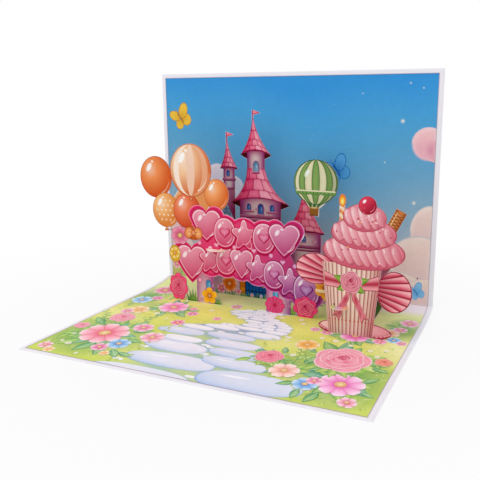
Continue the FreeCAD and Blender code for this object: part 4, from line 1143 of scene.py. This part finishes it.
def draw_petals(ink, x, z, wide, tall, petals, deep, light, eye):
    """Die-cut flower: round petals that fill its scalloped outline."""
    deep, light, eye = tone(deep), tone(light), tone(eye)
    rim = mix(deep, tone("6E0F3C"), 0.4)
    ink.shape(oval(x, z, 0.7 * wide, 0.7 * tall, count=24), deep, (1.0, 0.5))
    for turn in range(petals):
        angle = math.pi / 2 + 2 * math.pi * turn / petals
        cx, cz = x + 0.6 * wide * math.cos(angle), z + 0.6 * tall * math.sin(angle)

        def shade(u, v, depth):
            share = math.hypot((u - x) / wide, (v - z) / tall)
            return rim if depth < 0.01 else mix(deep, light, share * 1.35 - 0.15)

        ink.shape(oval(cx, cz, 0.4 * wide - EDGE, 0.4 * tall - EDGE, count=24), shade, (1.0, 0.88, 0.55, 0.25))
        for lean in (-0.2, 0.2):
            ray = np.linspace(0.3, 0.72, 4)[:, None] * np.array([wide * math.cos(angle + lean), tall * math.sin(angle + lean)])
            ink.stroke(np.array([x, z]) + ray, 0.04 * wide, mix(deep, light, 0.2), 0.2)
    ink.shape(oval(x, z, 0.28 * wide, 0.28 * tall, count=20),
              lambda u, v, d: mix(mix(eye, tone("7A3A10"), 0.5), mix(eye, WHITE, 0.3), d * 1.2), (1.0, 0.82, 0.45))


# Rows of puffed shapes. Each stands on a scalloped ground: pale outer line, rose band, then deep magenta.
UPPER = ((-42, 54.5, 13.5, 13, "heart"), (-28.5, 51.5, 11, 11, "ball"), (-14.5, 50.5, 11, 11, "star"),
         (-0.5, 50, 11, 11, "ball"), (13.5, 49, 13.5, 13, "heart"))
LOWER = ((-54, 28, 14.5, 14.5, "heart"), (-39.5, 30, 10.5, 10.5, "star"), (-28, 30.5, 10.5, 10.5, "ball"),
         (-16.5, 29.5, 10.5, 10.5, "heart small"), (-5, 27.5, 10.5, 10.5, "star"), (6.5, 25, 10.5, 10.5, "ball"),
         (17.5, 21, 10.5, 10.5, "star"), (28.5, 17, 12, 12, "ball"))


def heart_outline(x, z, wide, tall):
    """Two round lobes over bowed flanks that meet in a tip."""
    lobe = 0.53 * wide
    centre, height = wide - lobe, z + tall - lobe
    angle = np.linspace(math.acos(-centre / lobe), 0, 16)
    right = [(centre + lobe * math.cos(a), height + lobe * math.sin(a)) for a in angle]
    start, end = np.array([wide, height]), np.array([0, z - tall])
    chord = end - start
    outward = np.array([-chord[1], chord[0]]) / np.hypot(*chord)
    for t in np.linspace(0, 1, 11)[1:]:
        right.append(tuple(start + chord * t + outward * 0.12 * wide * 4 * t * (1 - t)))
    left = [(-u, v) for u, v in right[-2:0:-1]]
    return np.array([(x + u, v) for u, v in right + left])


def star_outline(x, z, reach, points=5, inner=0.56):
    """Puffed star: the tips and the notches are rounded."""
    angle = np.linspace(0, 2 * math.pi, 80, endpoint=False)
    wave = 0.5 + 0.5 * np.cos(points * (angle - math.pi / 2))
    radius = reach * (inner + (1 - inner) * wave ** 1.35)
    return np.stack([x + radius * np.cos(angle), z + radius * np.sin(angle)], 1)


def berry(x, z):
    """How far the print has turned from pink to purple: most at the lower right."""
    return min(max((x + 30 - 0.9 * (z - 30)) / 75, 0.0), 1.0)


def outline_of(x, z, wide, tall, kind):
    return heart_outline(x, z, wide, tall) if kind == "heart" else oval(x, z, wide, tall, count=40)


ROWS = LOWER + UPPER
middle_field = [row[:2] for row in UPPER] + [row[:2] for row in LOWER[::-1]]
for inset, pink, purple in ((EDGE, "F49CBC", "CC8CC0"), (0.55, "EA3A7C", "B04C9C"), (1.6, "C81C58", "8A2C78"),
                            (2.0, "E85484", "B04C8C")):
    grounds = lambda u, v, d=0, pink=pink, purple=purple: mix(tone(pink), tone(purple), berry(u, v))
    for x, z, wide, tall, kind in ROWS:
        arch.shape(outline_of(x, z, wide - inset, tall - inset, kind), grounds, (1.0, 0.6, 0.3))
    arch.fill(middle_field, grounds)


def draw_puff(ink, outline, x, z, wide, tall):
    """Glossy puffed shape: dark rim, bright inner line, body darker below, and white glints."""
    share = berry(x, z)
    light = mix(tone("F2AEBE"), tone("D8A4CE"), share)
    deep = mix(tone("DA5C84"), tone("984C9C"), share)
    rim = mix(tone("CC1C5C"), tone("7E2A80"), share)

    def shade(u, v, depth):
        up = (v - z) / tall
        if depth < 0.045:
            return rim
        if depth < 0.075:
            return mix(deep, tone("FF5C94"), 0.5 * (1 - share))
        if depth < 0.13:
            return mix(light, WHITE, 0.3 + 0.25 * up)
        return mix(mix(deep, light, 0.5 + 0.6 * up), mix(deep, rim, 0.4), 0.35 * max(0.0, (u - x) / wide))

    ink.shape(outline, shade, (1.0, 0.96, 0.945, 0.91, 0.88, 0.84, 0.6, 0.35), (x, z))
    ink.shape(oval(x - 0.42 * wide, z + 0.42 * tall, 0.12 * wide, 0.22 * tall, -0.6, 18),
              lambda u, v, d: mix(light, WHITE, 0.45 + 0.4 * d), (1.0, 0.6))
    ink.shape(oval(x - 0.14 * wide, z + 0.64 * tall, 0.08 * wide, 0.05 * tall, -0.3, 10), mix(light, WHITE, 0.7), (1.0,))
    shine = [(x + 0.7 * wide * math.cos(a), z + 0.7 * tall * math.sin(a)) for a in np.linspace(-1.25, -0.35, 7)]
    ink.stroke(shine, 0.08 * wide, mix(light, WHITE, 0.4), 0.2)


def small_heart(x, z, size):
    """Heart with a deep notch, for sizes at which a shallow one would not print."""
    t = np.linspace(0, 2 * math.pi, 28, endpoint=False)
    u = 16 * np.sin(t) ** 3
    v = 13 * np.cos(t) - 5 * np.cos(2 * t) - 2 * np.cos(3 * t) - np.cos(4 * t)
    return np.stack([x + u * size / 16, z + (v + 2) * size / 16], 1)


# The puffed shapes fill their ground nearly to its rim, and lean on one another like a row of balloons.
for x, z, wide, tall, kind in ROWS:
    upper = z > 40
    w, h = wide - 2.3, tall - 2.3
    shadow = mix(tone("C81E58"), tone("84287A"), berry(x, z))
    if kind == "heart":
        outline, w, h = heart_outline, w, h
    elif kind == "heart small":
        outline, w, h = heart_outline, w + 0.6, h + 2.0
    elif kind == "star":
        outline, w, h = None, 0.80 * w, 0.95 * h
        x_star, z_star = x, z + (-0.8 if upper else 1.0)
        points = star_outline(0, 0, 1.0) * [w * 1.38, h * 1.34]
        arch.shape(points + [x_star, z_star - 1.1], shadow, (1.0, 0.5))
        draw_puff(arch, points + [x_star, z_star], x_star, z_star, w, h)
        continue
    else:
        outline, w, h = (lambda a, b, c, d: oval(a, b, c, d, count=40, square=0.93)), 0.93 * w, 1.17 * h
    lift = 0.0 if kind == "heart" else (-0.9 if upper else 1.1)
    arch.shape(outline(x + 0.3, z + lift - 1.2, w, h), shadow, (1.0, 0.5))
    draw_puff(arch, outline(x, z + lift, w, h), x, z + lift, w, h)
    if kind == "ball":
        arch.shape(small_heart(x + 0.2, z + lift - 0.4, 0.5 * w), shadow, (1.0, 0.5))
        arch.shape(small_heart(x, z + lift, 0.42 * w),
                   lambda u, v, d: mix(mix(tone("E8709A"), tone("B47CC0"), berry(u, v)), WHITE, 0.3 * d), (1.0, 0.5))
for index, (x, z) in enumerate(((-47.5, 42.2), (-34.8, 41.6), (-21.5, 41.4), (-7.5, 40.2), (4.5, 38.4), (12.6, 34.6),
                                (20.8, 33.2), (-61.5, 41.8), (-48, 16.5), (23.4, 9.8))):
    share = berry(x, z)
    size = 1.9 if index % 2 else 1.5
    arch.shape(small_heart(x, z, size) if index % 2 else oval(x, z, size, size, count=16),
               lambda u, v, d, share=share: mix(tone("B01850"), tone("7A2A7A"), share) if d < 0.05 else
               mix(mix(tone("F58DB2"), tone("C48FD0"), share), WHITE, 0.5 * d), (1.0, 0.9, 0.75, 0.4))

# Flowers and bow round the arch.
draw_petals(arch, -65, 10, 7.6, 9.8, 7, "D42460", "FA6A94", "E23A74")
draw_rose(arch, -65, 10, 5.8, "D0245A", "FA82A2", 1.25)
draw_petals(arch, -62.5, 46, 7, 6.5, 7, "D85A86", "F4A9C0", "F7D26A")
arch.shape(oval(-67, 33, 4.6 - EDGE, 6 - EDGE, count=24),
           lambda u, v, d: mix(tone("B88A1E"), tone("F2CE4E"), d * 3 + 0.2), (1.0, 0.85, 0.4))
draw_blossom(arch, -67, 33.5, 3.9, 6, "E09A24", "F8D85E", "D9761E")
draw_petals(arch, 28, 7, 8.5, 7.5, 7, "C41A58", "F0588E", "D42A66")
draw_rose(arch, 28, 7, 6.0, "BC1452", "F26C98", 0.95)
draw_petals(arch, 41.5, 21.5, 8, 8, 6, "D9821E", "F7BC50", "B8561A")
draw_petals(arch, -41, 6.2, 6, 6, 5, "EC9A1C", "FFCC3C", "E08A1C")
draw_petals(arch, 7, 6, 7, 6, 8, "D01C60", "F0558E", "E24C86")
for reach, count, start in ((0.86, 12, 0.0), (0.66, 10, 0.3), (0.44, 8, 0.1)):
    for k in range(count):
        turn = start + 2 * math.pi * k / count
        arch.shape(leaf_outline(0, 0, 7 * reach, 3.4 * reach, turn) * [1, 0.86] + [7, 6],
                   lambda u, v, d, reach=reach: mix(tone("C4104E"), tone("FA86B0"), (
                       math.hypot(u - 7, v - 6) / 7 / reach) ** 1.5 * (0.55 + 0.45 * min(1, 4 * d))), (1.0, 0.75, 0.4),
                   (7 + 4 * reach * math.cos(turn), 6 + 3.4 * reach * math.sin(turn)))
for side in (-1, 1):
    loop = oval(-52 + side * 3.5, 48.5, 3.4, 4.3, side * 0.35, 22)
    arch.shape(loop, lambda u, v, d: tone("A8481C") if d < 0.01 else mix(tone("E07A34"), tone("F9C08A"), d * 1.4), (1.0, 0.86, 0.5, 0.25))
    arch.stroke([(-52 + side * 1.2, 48.5), (-52 + side * 3.8, 49.4)], 0.5, tone("B8561E"), 0.3)
arch.shape(oval(-52, 48.5, 1.6, 1.9, count=16), lambda u, v, d: tone("A8481C") if d < 0.01 else mix(tone("E88A44"), WHITE, 0.3 * d), (1.0, 0.82, 0.4))
arch.finish("arch_print", printed("arch ink"), 1.25)

# Cupcake layer: the front die-cut, a tall pink cupcake on a plate with a rose and a wide ribbon bow.
# Its print is the warmest of the three, crimson at the edges and cream at the cup.
CUPCAKE_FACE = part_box("cupcake_layer")[0].y
cake = Print(lambda x, z, lift: (x * MM, CUPCAKE_FACE - lift, z * MM))
CRIMSON, ROSE, BLUSH, CREAM = tone("B52344"), tone("DE7F90"), tone("F3B6BD"), tone("F1D9C4")


def clip_low(outline, low=0.75):
    outline = np.array(outline)
    outline[:, 1] = outline[:, 1].clip(low, None)
    return outline


# Plate under the cup.
cake.shape(clip_low(oval(65, 4.5, 22 - EDGE, 5.5 - EDGE, count=60)),
           lambda u, v, d: mix(tone("9E2440"), tone("C85468"), d * 6), (1.0, 0.96, 0.8, 0.5))
cake.shape(clip_low(oval(65, 5.2, 20.6, 4.1, count=60)),
           lambda u, v, d: mix(tone("E79AA5"), tone("F6CDD0"), 0.5 - (u - 65) / 44 + 0.5 * d), (1.0, 0.9, 0.7, 0.4))
for k in range(17):
    a = math.pi * (1.06 + 0.88 * k / 16)
    cake.shape(clip_low(oval(65 + 20.9 * math.cos(a), 5.0 + 3.9 * math.sin(a), 1.15, 0.8, count=12)),
               lambda u, v, d: mix(CRIMSON, BLUSH, 0.35 + d), (1.0, 0.7))


def ribbon_loop(x, z, wide, tall, knot, pleats):
    """Loop of a pleated ribbon bow: its pleats fan out from the knot, light on one flank and dark on the other."""
    wide, tall = wide - EDGE, tall - EDGE
    seen_from = np.array([(knot[0] - x) / wide, (knot[1] - z) / tall])
    away = np.hypot(*seen_from)
    onward = -seen_from / away
    aside = np.array([-onward[1], onward[0]])

    def fan(s, t):
        lean = math.asin(0.999 * s / away)
        reach = away * math.cos(lean) + (2 * t - 1) * math.sqrt(1 - (0.999 * s) ** 2)
        place = seen_from + reach * (math.cos(lean) * onward + math.sin(lean) * aside)
        return x + wide * place[0], z + tall * place[1]

    def pleat(s, t):
        fold = (0.5 + 0.5 * s) * pleats % 1.0
        silk = ramp([tone("B02848"), tone("DA5C74"), tone("F08C9C"), tone("FBC2C4"), tone("F09AA6")], fold)
        silk = mix(silk, tone("9C1C40"), 0.75 * (1 - t) ** 1.6)
        return mix(silk, tone("FBD0D0"), 0.45 * max(0.0, (t - 0.72) / 0.28) * (fold > 0.2))

    cake.patch(fan, pleats * 10, 10, pleat)
    for k in range(1, pleats):
        cake.stroke([fan(2 * k / pleats - 1, t) for t in np.linspace(0.05, 0.97, 10)], 0.32, tone("8E1638"), 1.0)
    rim = oval(x, z, wide - 0.25, tall - 0.25, count=61)
    cake.stroke(np.r_[rim, rim[:1]], 0.5, tone("9C1C40"), 1.0)


KNOT = (62.5, 31.5)
cake.fill([(41, 38), (62.5, 22.2), (87.5, 29.8), (62.5, 42.6)], lambda u, v: mix(tone("B83450"), tone("D9707F"), (v - 22) / 20))
ribbon_loop(41, 38.5, 12.5, 9.5, KNOT, 6)
ribbon_loop(87.5, 29.5, 10, 12, KNOT, 7)


# Pleated paper cup: cream, with rose shadows in the pleats and a band of lace dots.
def cup_place(s, t):
    return 62.5 + s * (13 + 4.5 * t - EDGE), 0.9 + t * (43.5 - 0.9)


PLEATS = 15


def pleat_shade(s, t):
    turn = math.asin(max(-1, min(1, 0.96 * s))) / 1.29
    wave = (turn * PLEATS / 2) % 1.0
    fold = mix(tone("C9808A"), tone("FBEAD8"), min(1, 1.9 * wave) if wave < 0.75 else 4 * (1 - wave))
    return mix(mix(fold, CREAM, 0.25), tone("B8505F"), 0.5 * abs(s + 0.12) ** 3 + 0.22 * (1 - t) ** 4 + 0.35 * max(0.0, t - 0.8))


cake.patch(cup_place, 120, 10, pleat_shade)
for k in range(-PLEATS // 2 + 1, PLEATS // 2 + 1):
    s = math.sin(1.29 * 2 * k / PLEATS) / 0.96
    if abs(s) < 0.97:
        cake.stroke([cup_place(s, t) for t in np.linspace(0.01, 0.98, 8)], 0.34, tone("A8485A"), 0.8)
for k in range(PLEATS):
    s = math.sin(1.29 * (2 * (k + 0.5) / PLEATS - 1)) / 0.96
    for t, size in ((0.2, 0.62), (0.155, 0.36), (0.245, 0.36)):
        x, z = cup_place(s * 0.985, t)
        cake.shape(oval(x, z, size * (1 - 0.5 * s * s), size, count=12), lambda u, v, d: mix(tone("C8384F"), ROSE, d), (1.0, 0.5))
# Ribbon round the cup, wide at the sides and gathered under the rose.
cake.patch(lambda s, t: (62.5 + s * 16.0, 28.2 + 1.2 * abs(s) ** 1.5 + t * (5.0 + 3.6 * abs(s) ** 1.6)), 40, 8,
           lambda s, t: mix(mix(tone("BE3450"), tone("F5AEB6"), 0.5 + 0.5 * math.sin(8 * t - 1 + 2 * abs(s))),
                            CRIMSON, 0.6 * (1 - abs(s)) ** 3))
for t in (0.0, 1.0):
    edge = [(62.5 + s * 16.0, 28.2 + 1.2 * abs(s) ** 1.5 + t * (5.0 + 3.6 * abs(s) ** 1.6)) for s in np.linspace(-0.99, 0.99, 40)]
    cake.stroke(edge, 0.3, tone("8E1834"), 1.0)
for side in (-1, 1):
    tail = np.array([(1.5, 28), (5.2, 22), (8.2, 15.5), (11.2, 11.0), (8.8, 11.8), (6.6, 8.6), (4.2, 16), (1.0, 22), (0.2, 27)])
    outline = tail * [side, 1] + [KNOT[0], 0]
    cake.shape(outline, lambda u, v, d: tone("8E1834") if d < 0.02 else
               mix(tone("BE3450"), tone("F3A4AE"), 0.5 + 0.45 * math.sin((u - KNOT[0]) * side * 1.5 - v * 0.25)),
               (1.0, 0.9, 0.87, 0.5), (KNOT[0] + side * 5.2, 18.5))


def draw_frosting(x, z, wide, tall, lobes, lean=0.42):
    """One turn of piped frosting: slanting ridges, light on their upper left."""
    def ground(u, v, depth):
        if depth < 0.01:
            return mix(CRIMSON, tone("8E1C3C"), 0.3)
        return mix(tone("D2667C"), tone("EE9FAC"), 0.5 + 0.5 * (v - z) / tall)

    wide, tall = wide - EDGE, tall - EDGE
    cake.shape(oval(x, z, wide, tall, count=56), ground, (1.0, 0.95, 0.8, 0.5))
    for k in range(lobes):
        a = -0.93 + 1.86 * (k + 0.5) / lobes
        half = wide * 1.86 / lobes * 0.56 * math.sqrt(1 - 0.45 * a * a)
        span = tall * math.sqrt(max(0.05, 1 - a * a)) * 0.93
        cx = x + a * wide * 0.96
        tone_shift = 0.4 * max(0.0, a) ** 2

        def ridge(u, v, depth, cx=cx, half=half, span=span, tone_shift=tone_shift):
            side = ((u - cx) + 0.35 * (v - z)) / half
            if depth < 0.02:
                return mix(tone("B83E5C"), tone("DE7F90"), 0.5 + 0.5 * (v - z) / tall)
            body = mix(tone("F9CBD0"), tone("DB7186"), 0.42 + 0.42 * side - 0.25 * (v - z) / span)
            return mix(body, tone("C04862"), tone_shift)

        cake.shape(oval(cx, z, half * 1.06, span, lean, 22, 0.9), ridge, (1.0, 0.88, 0.6, 0.3))
        cake.stroke([(cx - 0.45 * half - 0.1 * span, z + 0.1 * span), (cx - 0.3 * half - 0.25 * span, z + 0.45 * span),
                     (cx - 0.25 * span, z + 0.66 * span)], 0.26 * half, mix(BLUSH, WHITE, 0.5), 0.3)


wafer_turn = math.radians(-27)
ct, st = math.cos(wafer_turn), math.sin(wafer_turn)


def wafer_place(s, t):
    u, v = s * (3.2 - EDGE), t * (22 - EDGE)
    return 80 + u * ct - v * st, 56 + u * st + v * ct


cake.patch(wafer_place, 10, 20, lambda s, t: mix(tone("F0AE72"), tone("B0602A"), 0.3 + 0.55 * abs(s + 0.3) ** 1.7))
for k in range(11):
    for first, last in ((-0.95, 0.95), (0.95, -0.95)):
        low, high = 0.02 + 0.085 * k, 0.14 + 0.085 * k
        if high < 0.99:
            cake.stroke([wafer_place(first, low), wafer_place(0, (low + high) / 2), wafer_place(last, high)], 0.4, tone("8E4A1E"), 0.8)
cake.stroke([wafer_place(-0.5, t) for t in (0.2, 0.5, 0.95)], 0.6, tone("FAD9A8"), 0.5)
cake.shape(np.array([wafer_place(s, 0.955 + 0.04 * t) for s, t in oval(0, 0, 0.96, 1.0, count=20)]),
           lambda u, v, d: mix(tone("7E3E18"), tone("D98E4E"), d * 2), (1.0, 0.7, 0.4))

# Candle with its flame, then the three turns of frosting in front of it.
cake.patch(lambda s, t: (56.5 + s * (1.7 - EDGE), 44 + t * 32.2), 6, 30,
           lambda s, t: mix(mix(tone("F5E3C8"), tone("E88A4A"), 1.0 if math.sin(44 * t + 1.6 * s) > 0.1 else 0.0), tone("A8481C"), 0.45 * max(0.0, s) ** 2))
cake.shape(oval(56.5, 79.6, 2.1 - EDGE, 3.6 - EDGE, count=26), lambda u, v, d: ramp([tone("E2651C"), tone("F6B02E"), tone("FDE98A")], d * 1.3),
           (1.0, 0.8, 0.5, 0.25), (56.5, 78.6))
draw_frosting(69, 51, 24, 10.5, 9)
draw_frosting(69, 61.5, 19, 9.5, 7)
draw_frosting(69.5, 70.5, 12.5, 8, 5)
cake.shape(oval(71, 77.6, 5.2 - EDGE, 5.2 - EDGE, count=36),
           lambda u, v, d: tone("7C0F2A") if d < 0.01 else mix(tone("A61A38"), tone("E8506A"), 0.5 - (u - 71) / 12 + (v - 77.6) / 12),
           (1.0, 0.92, 0.7, 0.4))
cake.shape(oval(69.2, 79.8, 0.8, 1.3, -0.7, 14), lambda u, v, d: mix(tone("F7B0BC"), WHITE, 0.4 + d), (1.0, 0.6))
cake.stroke([(72.5, 74), (74.4, 75.4), (75.2, 77.6)], 0.5, tone("EE8A9C"), 0.3)
for index in range(64):
    row = index % 3
    x0, z0, wide, tall = ((69, 51, 21, 8), (69, 61.5, 16, 7), (69.5, 70.5, 10, 5.6))[row]
    a, r = random.uniform(0, 2 * math.pi), math.sqrt(random.random())
    x, z = x0 + wide * r * math.cos(a), z0 + tall * r * math.sin(a)
    size = random.uniform(0.28, 0.62)
    shade = random.choice((CRIMSON, tone("C8384F"), tone("F7D0D2"), tone("E8904E")))
    cake.shape(oval(x, z, size, size, count=10), lambda u, v, d, shade=shade: mix(shade, WHITE, 0.25 * d), (1.0, 0.6))

# Rose on the bow's knot, with its leaves.
for turn, length in ((2.75, 9.5), (0.35, 9.5), (-0.5, 7.5), (3.6, 7.5)):
    draw_leaf(cake, KNOT[0] + 2 * math.cos(turn), KNOT[1] + 2 * math.sin(turn), length, 4.2, turn, "4F8A2E", "A6C44A")
draw_rose(cake, KNOT[0], KNOT[1] + 1.2, 7.2, "C23A62", "F6A8B8")
cake.shape(oval(52.6, 18.3, 0.5, 0.55, count=12), tone("4A2020"), (1.0, 0.5))
cake.finish("cupcake_print", printed("cupcake ink"), 1.15)

# The foot strip is folded back from the cupcake's bottom edge and glued down. Its top is printed grass green, laid here
# as dark olive: the darkness is painted shade, for the strip lies in the shade of the layers.
cupcake_card = nodes["cupcake_layer"]


def on_foot(x, y, lift):
    hit, place, normal, face = cupcake_card.ray_cast(Vector((x * MM, y * MM, 0.012)), Vector((0, 0, -1)))
    return (x * MM, y * MM, (place.z if hit else 0.9 * MM) + lift)


foot = Print(on_foot)
# Grass print with painted shade: mottled dark olive greens, turning dark red at the back end.
foot.patch(lambda s, t: (61.2 + s * 7.7, 16 + t * 56.5), 8, 40,
           lambda s, t: mix(mix(tone("3F6B2C"), tone("6F8E3C"), 0.5 + 0.5 * math.sin(5 * s + 9 * t)), tone("7C2A30"), 4 * t - 3.4))
foot.finish("foot_print_and_painted_shade", printed("foot ink and painted shade"))

# Spacer strips: four slim card strips that hold the layers off the back panel.
# They are cut from scraps of the print, so their tops are coloured and their undersides white.
STRIP_TOPS = {"left_spacer": ("F3E8D6", "FBF4E8", "EFD9A2"), "right_spacer": ("F6F2E8", "F3E3A0", "F0D77C"),
              "low_spacer": ("F2C648", "B4C85A", "DD9CC6", "F0A060"), "high_spacer": ("8C1C36", "8C1C36", "A82C44", "E0742C", "A82C44", "8C1C36", "8C1C36")}


def top_coloured(name, codes, low, high, roughness=0.45):
    """Card with colours that run along X on faces that look up, and plain white on all others."""
    material, shader, place = new_material(name, roughness, coat=0.1)
    axes = place.node("ShaderNodeSeparateXYZ", {}, Vector=place)
    along = Wire(place.tree, axes.outputs["X"]) + grain(place, 300.0) * 0.004
    share = place.node("ShaderNodeMapRange", {}, Value=along, From_Min=low, From_Max=high)
    colours = place.tree.nodes.new("ShaderNodeValToRGB")
    steps = colours.color_ramp.elements
    while len(steps) < len(codes):
        steps.new(0.5)
    for index, code in enumerate(codes):
        steps[index].position = index / (len(codes) - 1)
        steps[index].color = (*tone(code), 1)
    place.tree.links.new(share.outputs[0], colours.inputs["Fac"])
    facing = place.node("ShaderNodeSeparateXYZ", {}, Vector=Wire(
        place.tree, place.tree.nodes.new("ShaderNodeNewGeometry").outputs["Normal"]))
    up = place.node("ShaderNodeMapRange", {}, Value=Wire(place.tree, facing.outputs["Z"]), From_Min=0.4, From_Max=0.6)
    paint = place.node("ShaderNodeMix", {"data_type": "RGBA"}, i0=Wire(place.tree, up.outputs[0]),
                       i6=(*tone("EFECEE"), 1), i7=Wire(place.tree, colours.outputs["Color"]))
    place.tree.links.new(paint.outputs[2], shader.inputs["Base Color"])
    tooth(shader, place, 0.00002)
    return material


for name, codes in STRIP_TOPS.items():
    low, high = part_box(name)
    nodes[name].data.materials.clear()
    nodes[name].data.materials.append(top_coloured(name + " card", codes, low.x, high.x))

# Table and light: a white table in a white room, with one broad soft lamp in front and above.
# The table shows white to the camera and keeps a faint shadow close to the card.
REACH = 4.0
floor = bpy.data.meshes.new("table")
floor.from_pydata([(-REACH, -REACH, 0), (REACH, -REACH, 0), (REACH, REACH, 0), (-REACH, REACH, 0)], [], [(0, 1, 2, 3)])
table = bpy.data.objects.new("table", floor)
bpy.context.scene.collection.objects.link(table)
table.location.z = -0.00005
table_paint, table_shader, table_place = new_material("table white", 0.9)
table_shader.inputs["Base Color"].default_value = (0.86, 0.86, 0.87, 1)
tree = table_paint.node_tree
rays = tree.nodes.new("ShaderNodeLightPath")
seen = table_place.node("ShaderNodeMath", {"operation": "MAXIMUM"}, i0=Wire(tree, rays.outputs["Is Camera Ray"]),
                        i1=Wire(tree, rays.outputs["Is Glossy Ray"]))
span = table_place.node("ShaderNodeVectorMath", {"operation": "LENGTH"}, i0=table_place)
far = table_place.node("ShaderNodeMapRange", {}, Value=Wire(tree, span.outputs["Value"]), From_Min=0.1, From_Max=0.32,
                       To_Min=0.8, To_Max=1.0)
white = table_place.node("ShaderNodeEmission", {}, Color=(1, 1, 1, 1), Strength=1.0)
blend = table_place.node("ShaderNodeMixShader", {}, Fac=Wire(tree, seen.outputs[0]) * Wire(tree, far.outputs[0]))
tree.links.new(table_shader.outputs[0], blend.inputs[1])
tree.links.new(white.outputs[0], blend.inputs[2])
tree.links.new(blend.outputs[0], tree.nodes["Material Output"].inputs["Surface"])
floor.materials.append(table_paint)

world = bpy.data.worlds.new("room")
bpy.context.scene.world = world
world.use_nodes = True
tree = world.node_tree
background = tree.nodes["Background"]
rays = tree.nodes.new("ShaderNodeLightPath")
seen = Wire(tree, rays.outputs["Is Camera Ray"])
room = seen.node("ShaderNodeMapRange", {}, Value=seen, To_Min=0.74, To_Max=1.0)
shade = seen.node("ShaderNodeCombineColor", {}, Red=Wire(tree, room.outputs[0]), Green=Wire(tree, room.outputs[0]),
                  Blue=Wire(tree, room.outputs[0]))
tree.links.new(shade.outputs[0], background.inputs["Color"])


def lamp(name, place, aim, size, power):
    light = bpy.data.lights.new(name, "AREA")
    light.size = size
    light.energy = power
    made = bpy.data.objects.new(name, light)
    made.location = place
    made.rotation_euler = (Vector(place) - Vector(aim)).to_track_quat("Z", "Y").to_euler()
    bpy.context.scene.collection.objects.link(made)


lamp("key lamp", (-0.15, -0.55, 1.25), (0, 0.03, 0.05), 1.2, 7.0)

bpy.context.scene.view_settings.view_transform = "Standard"
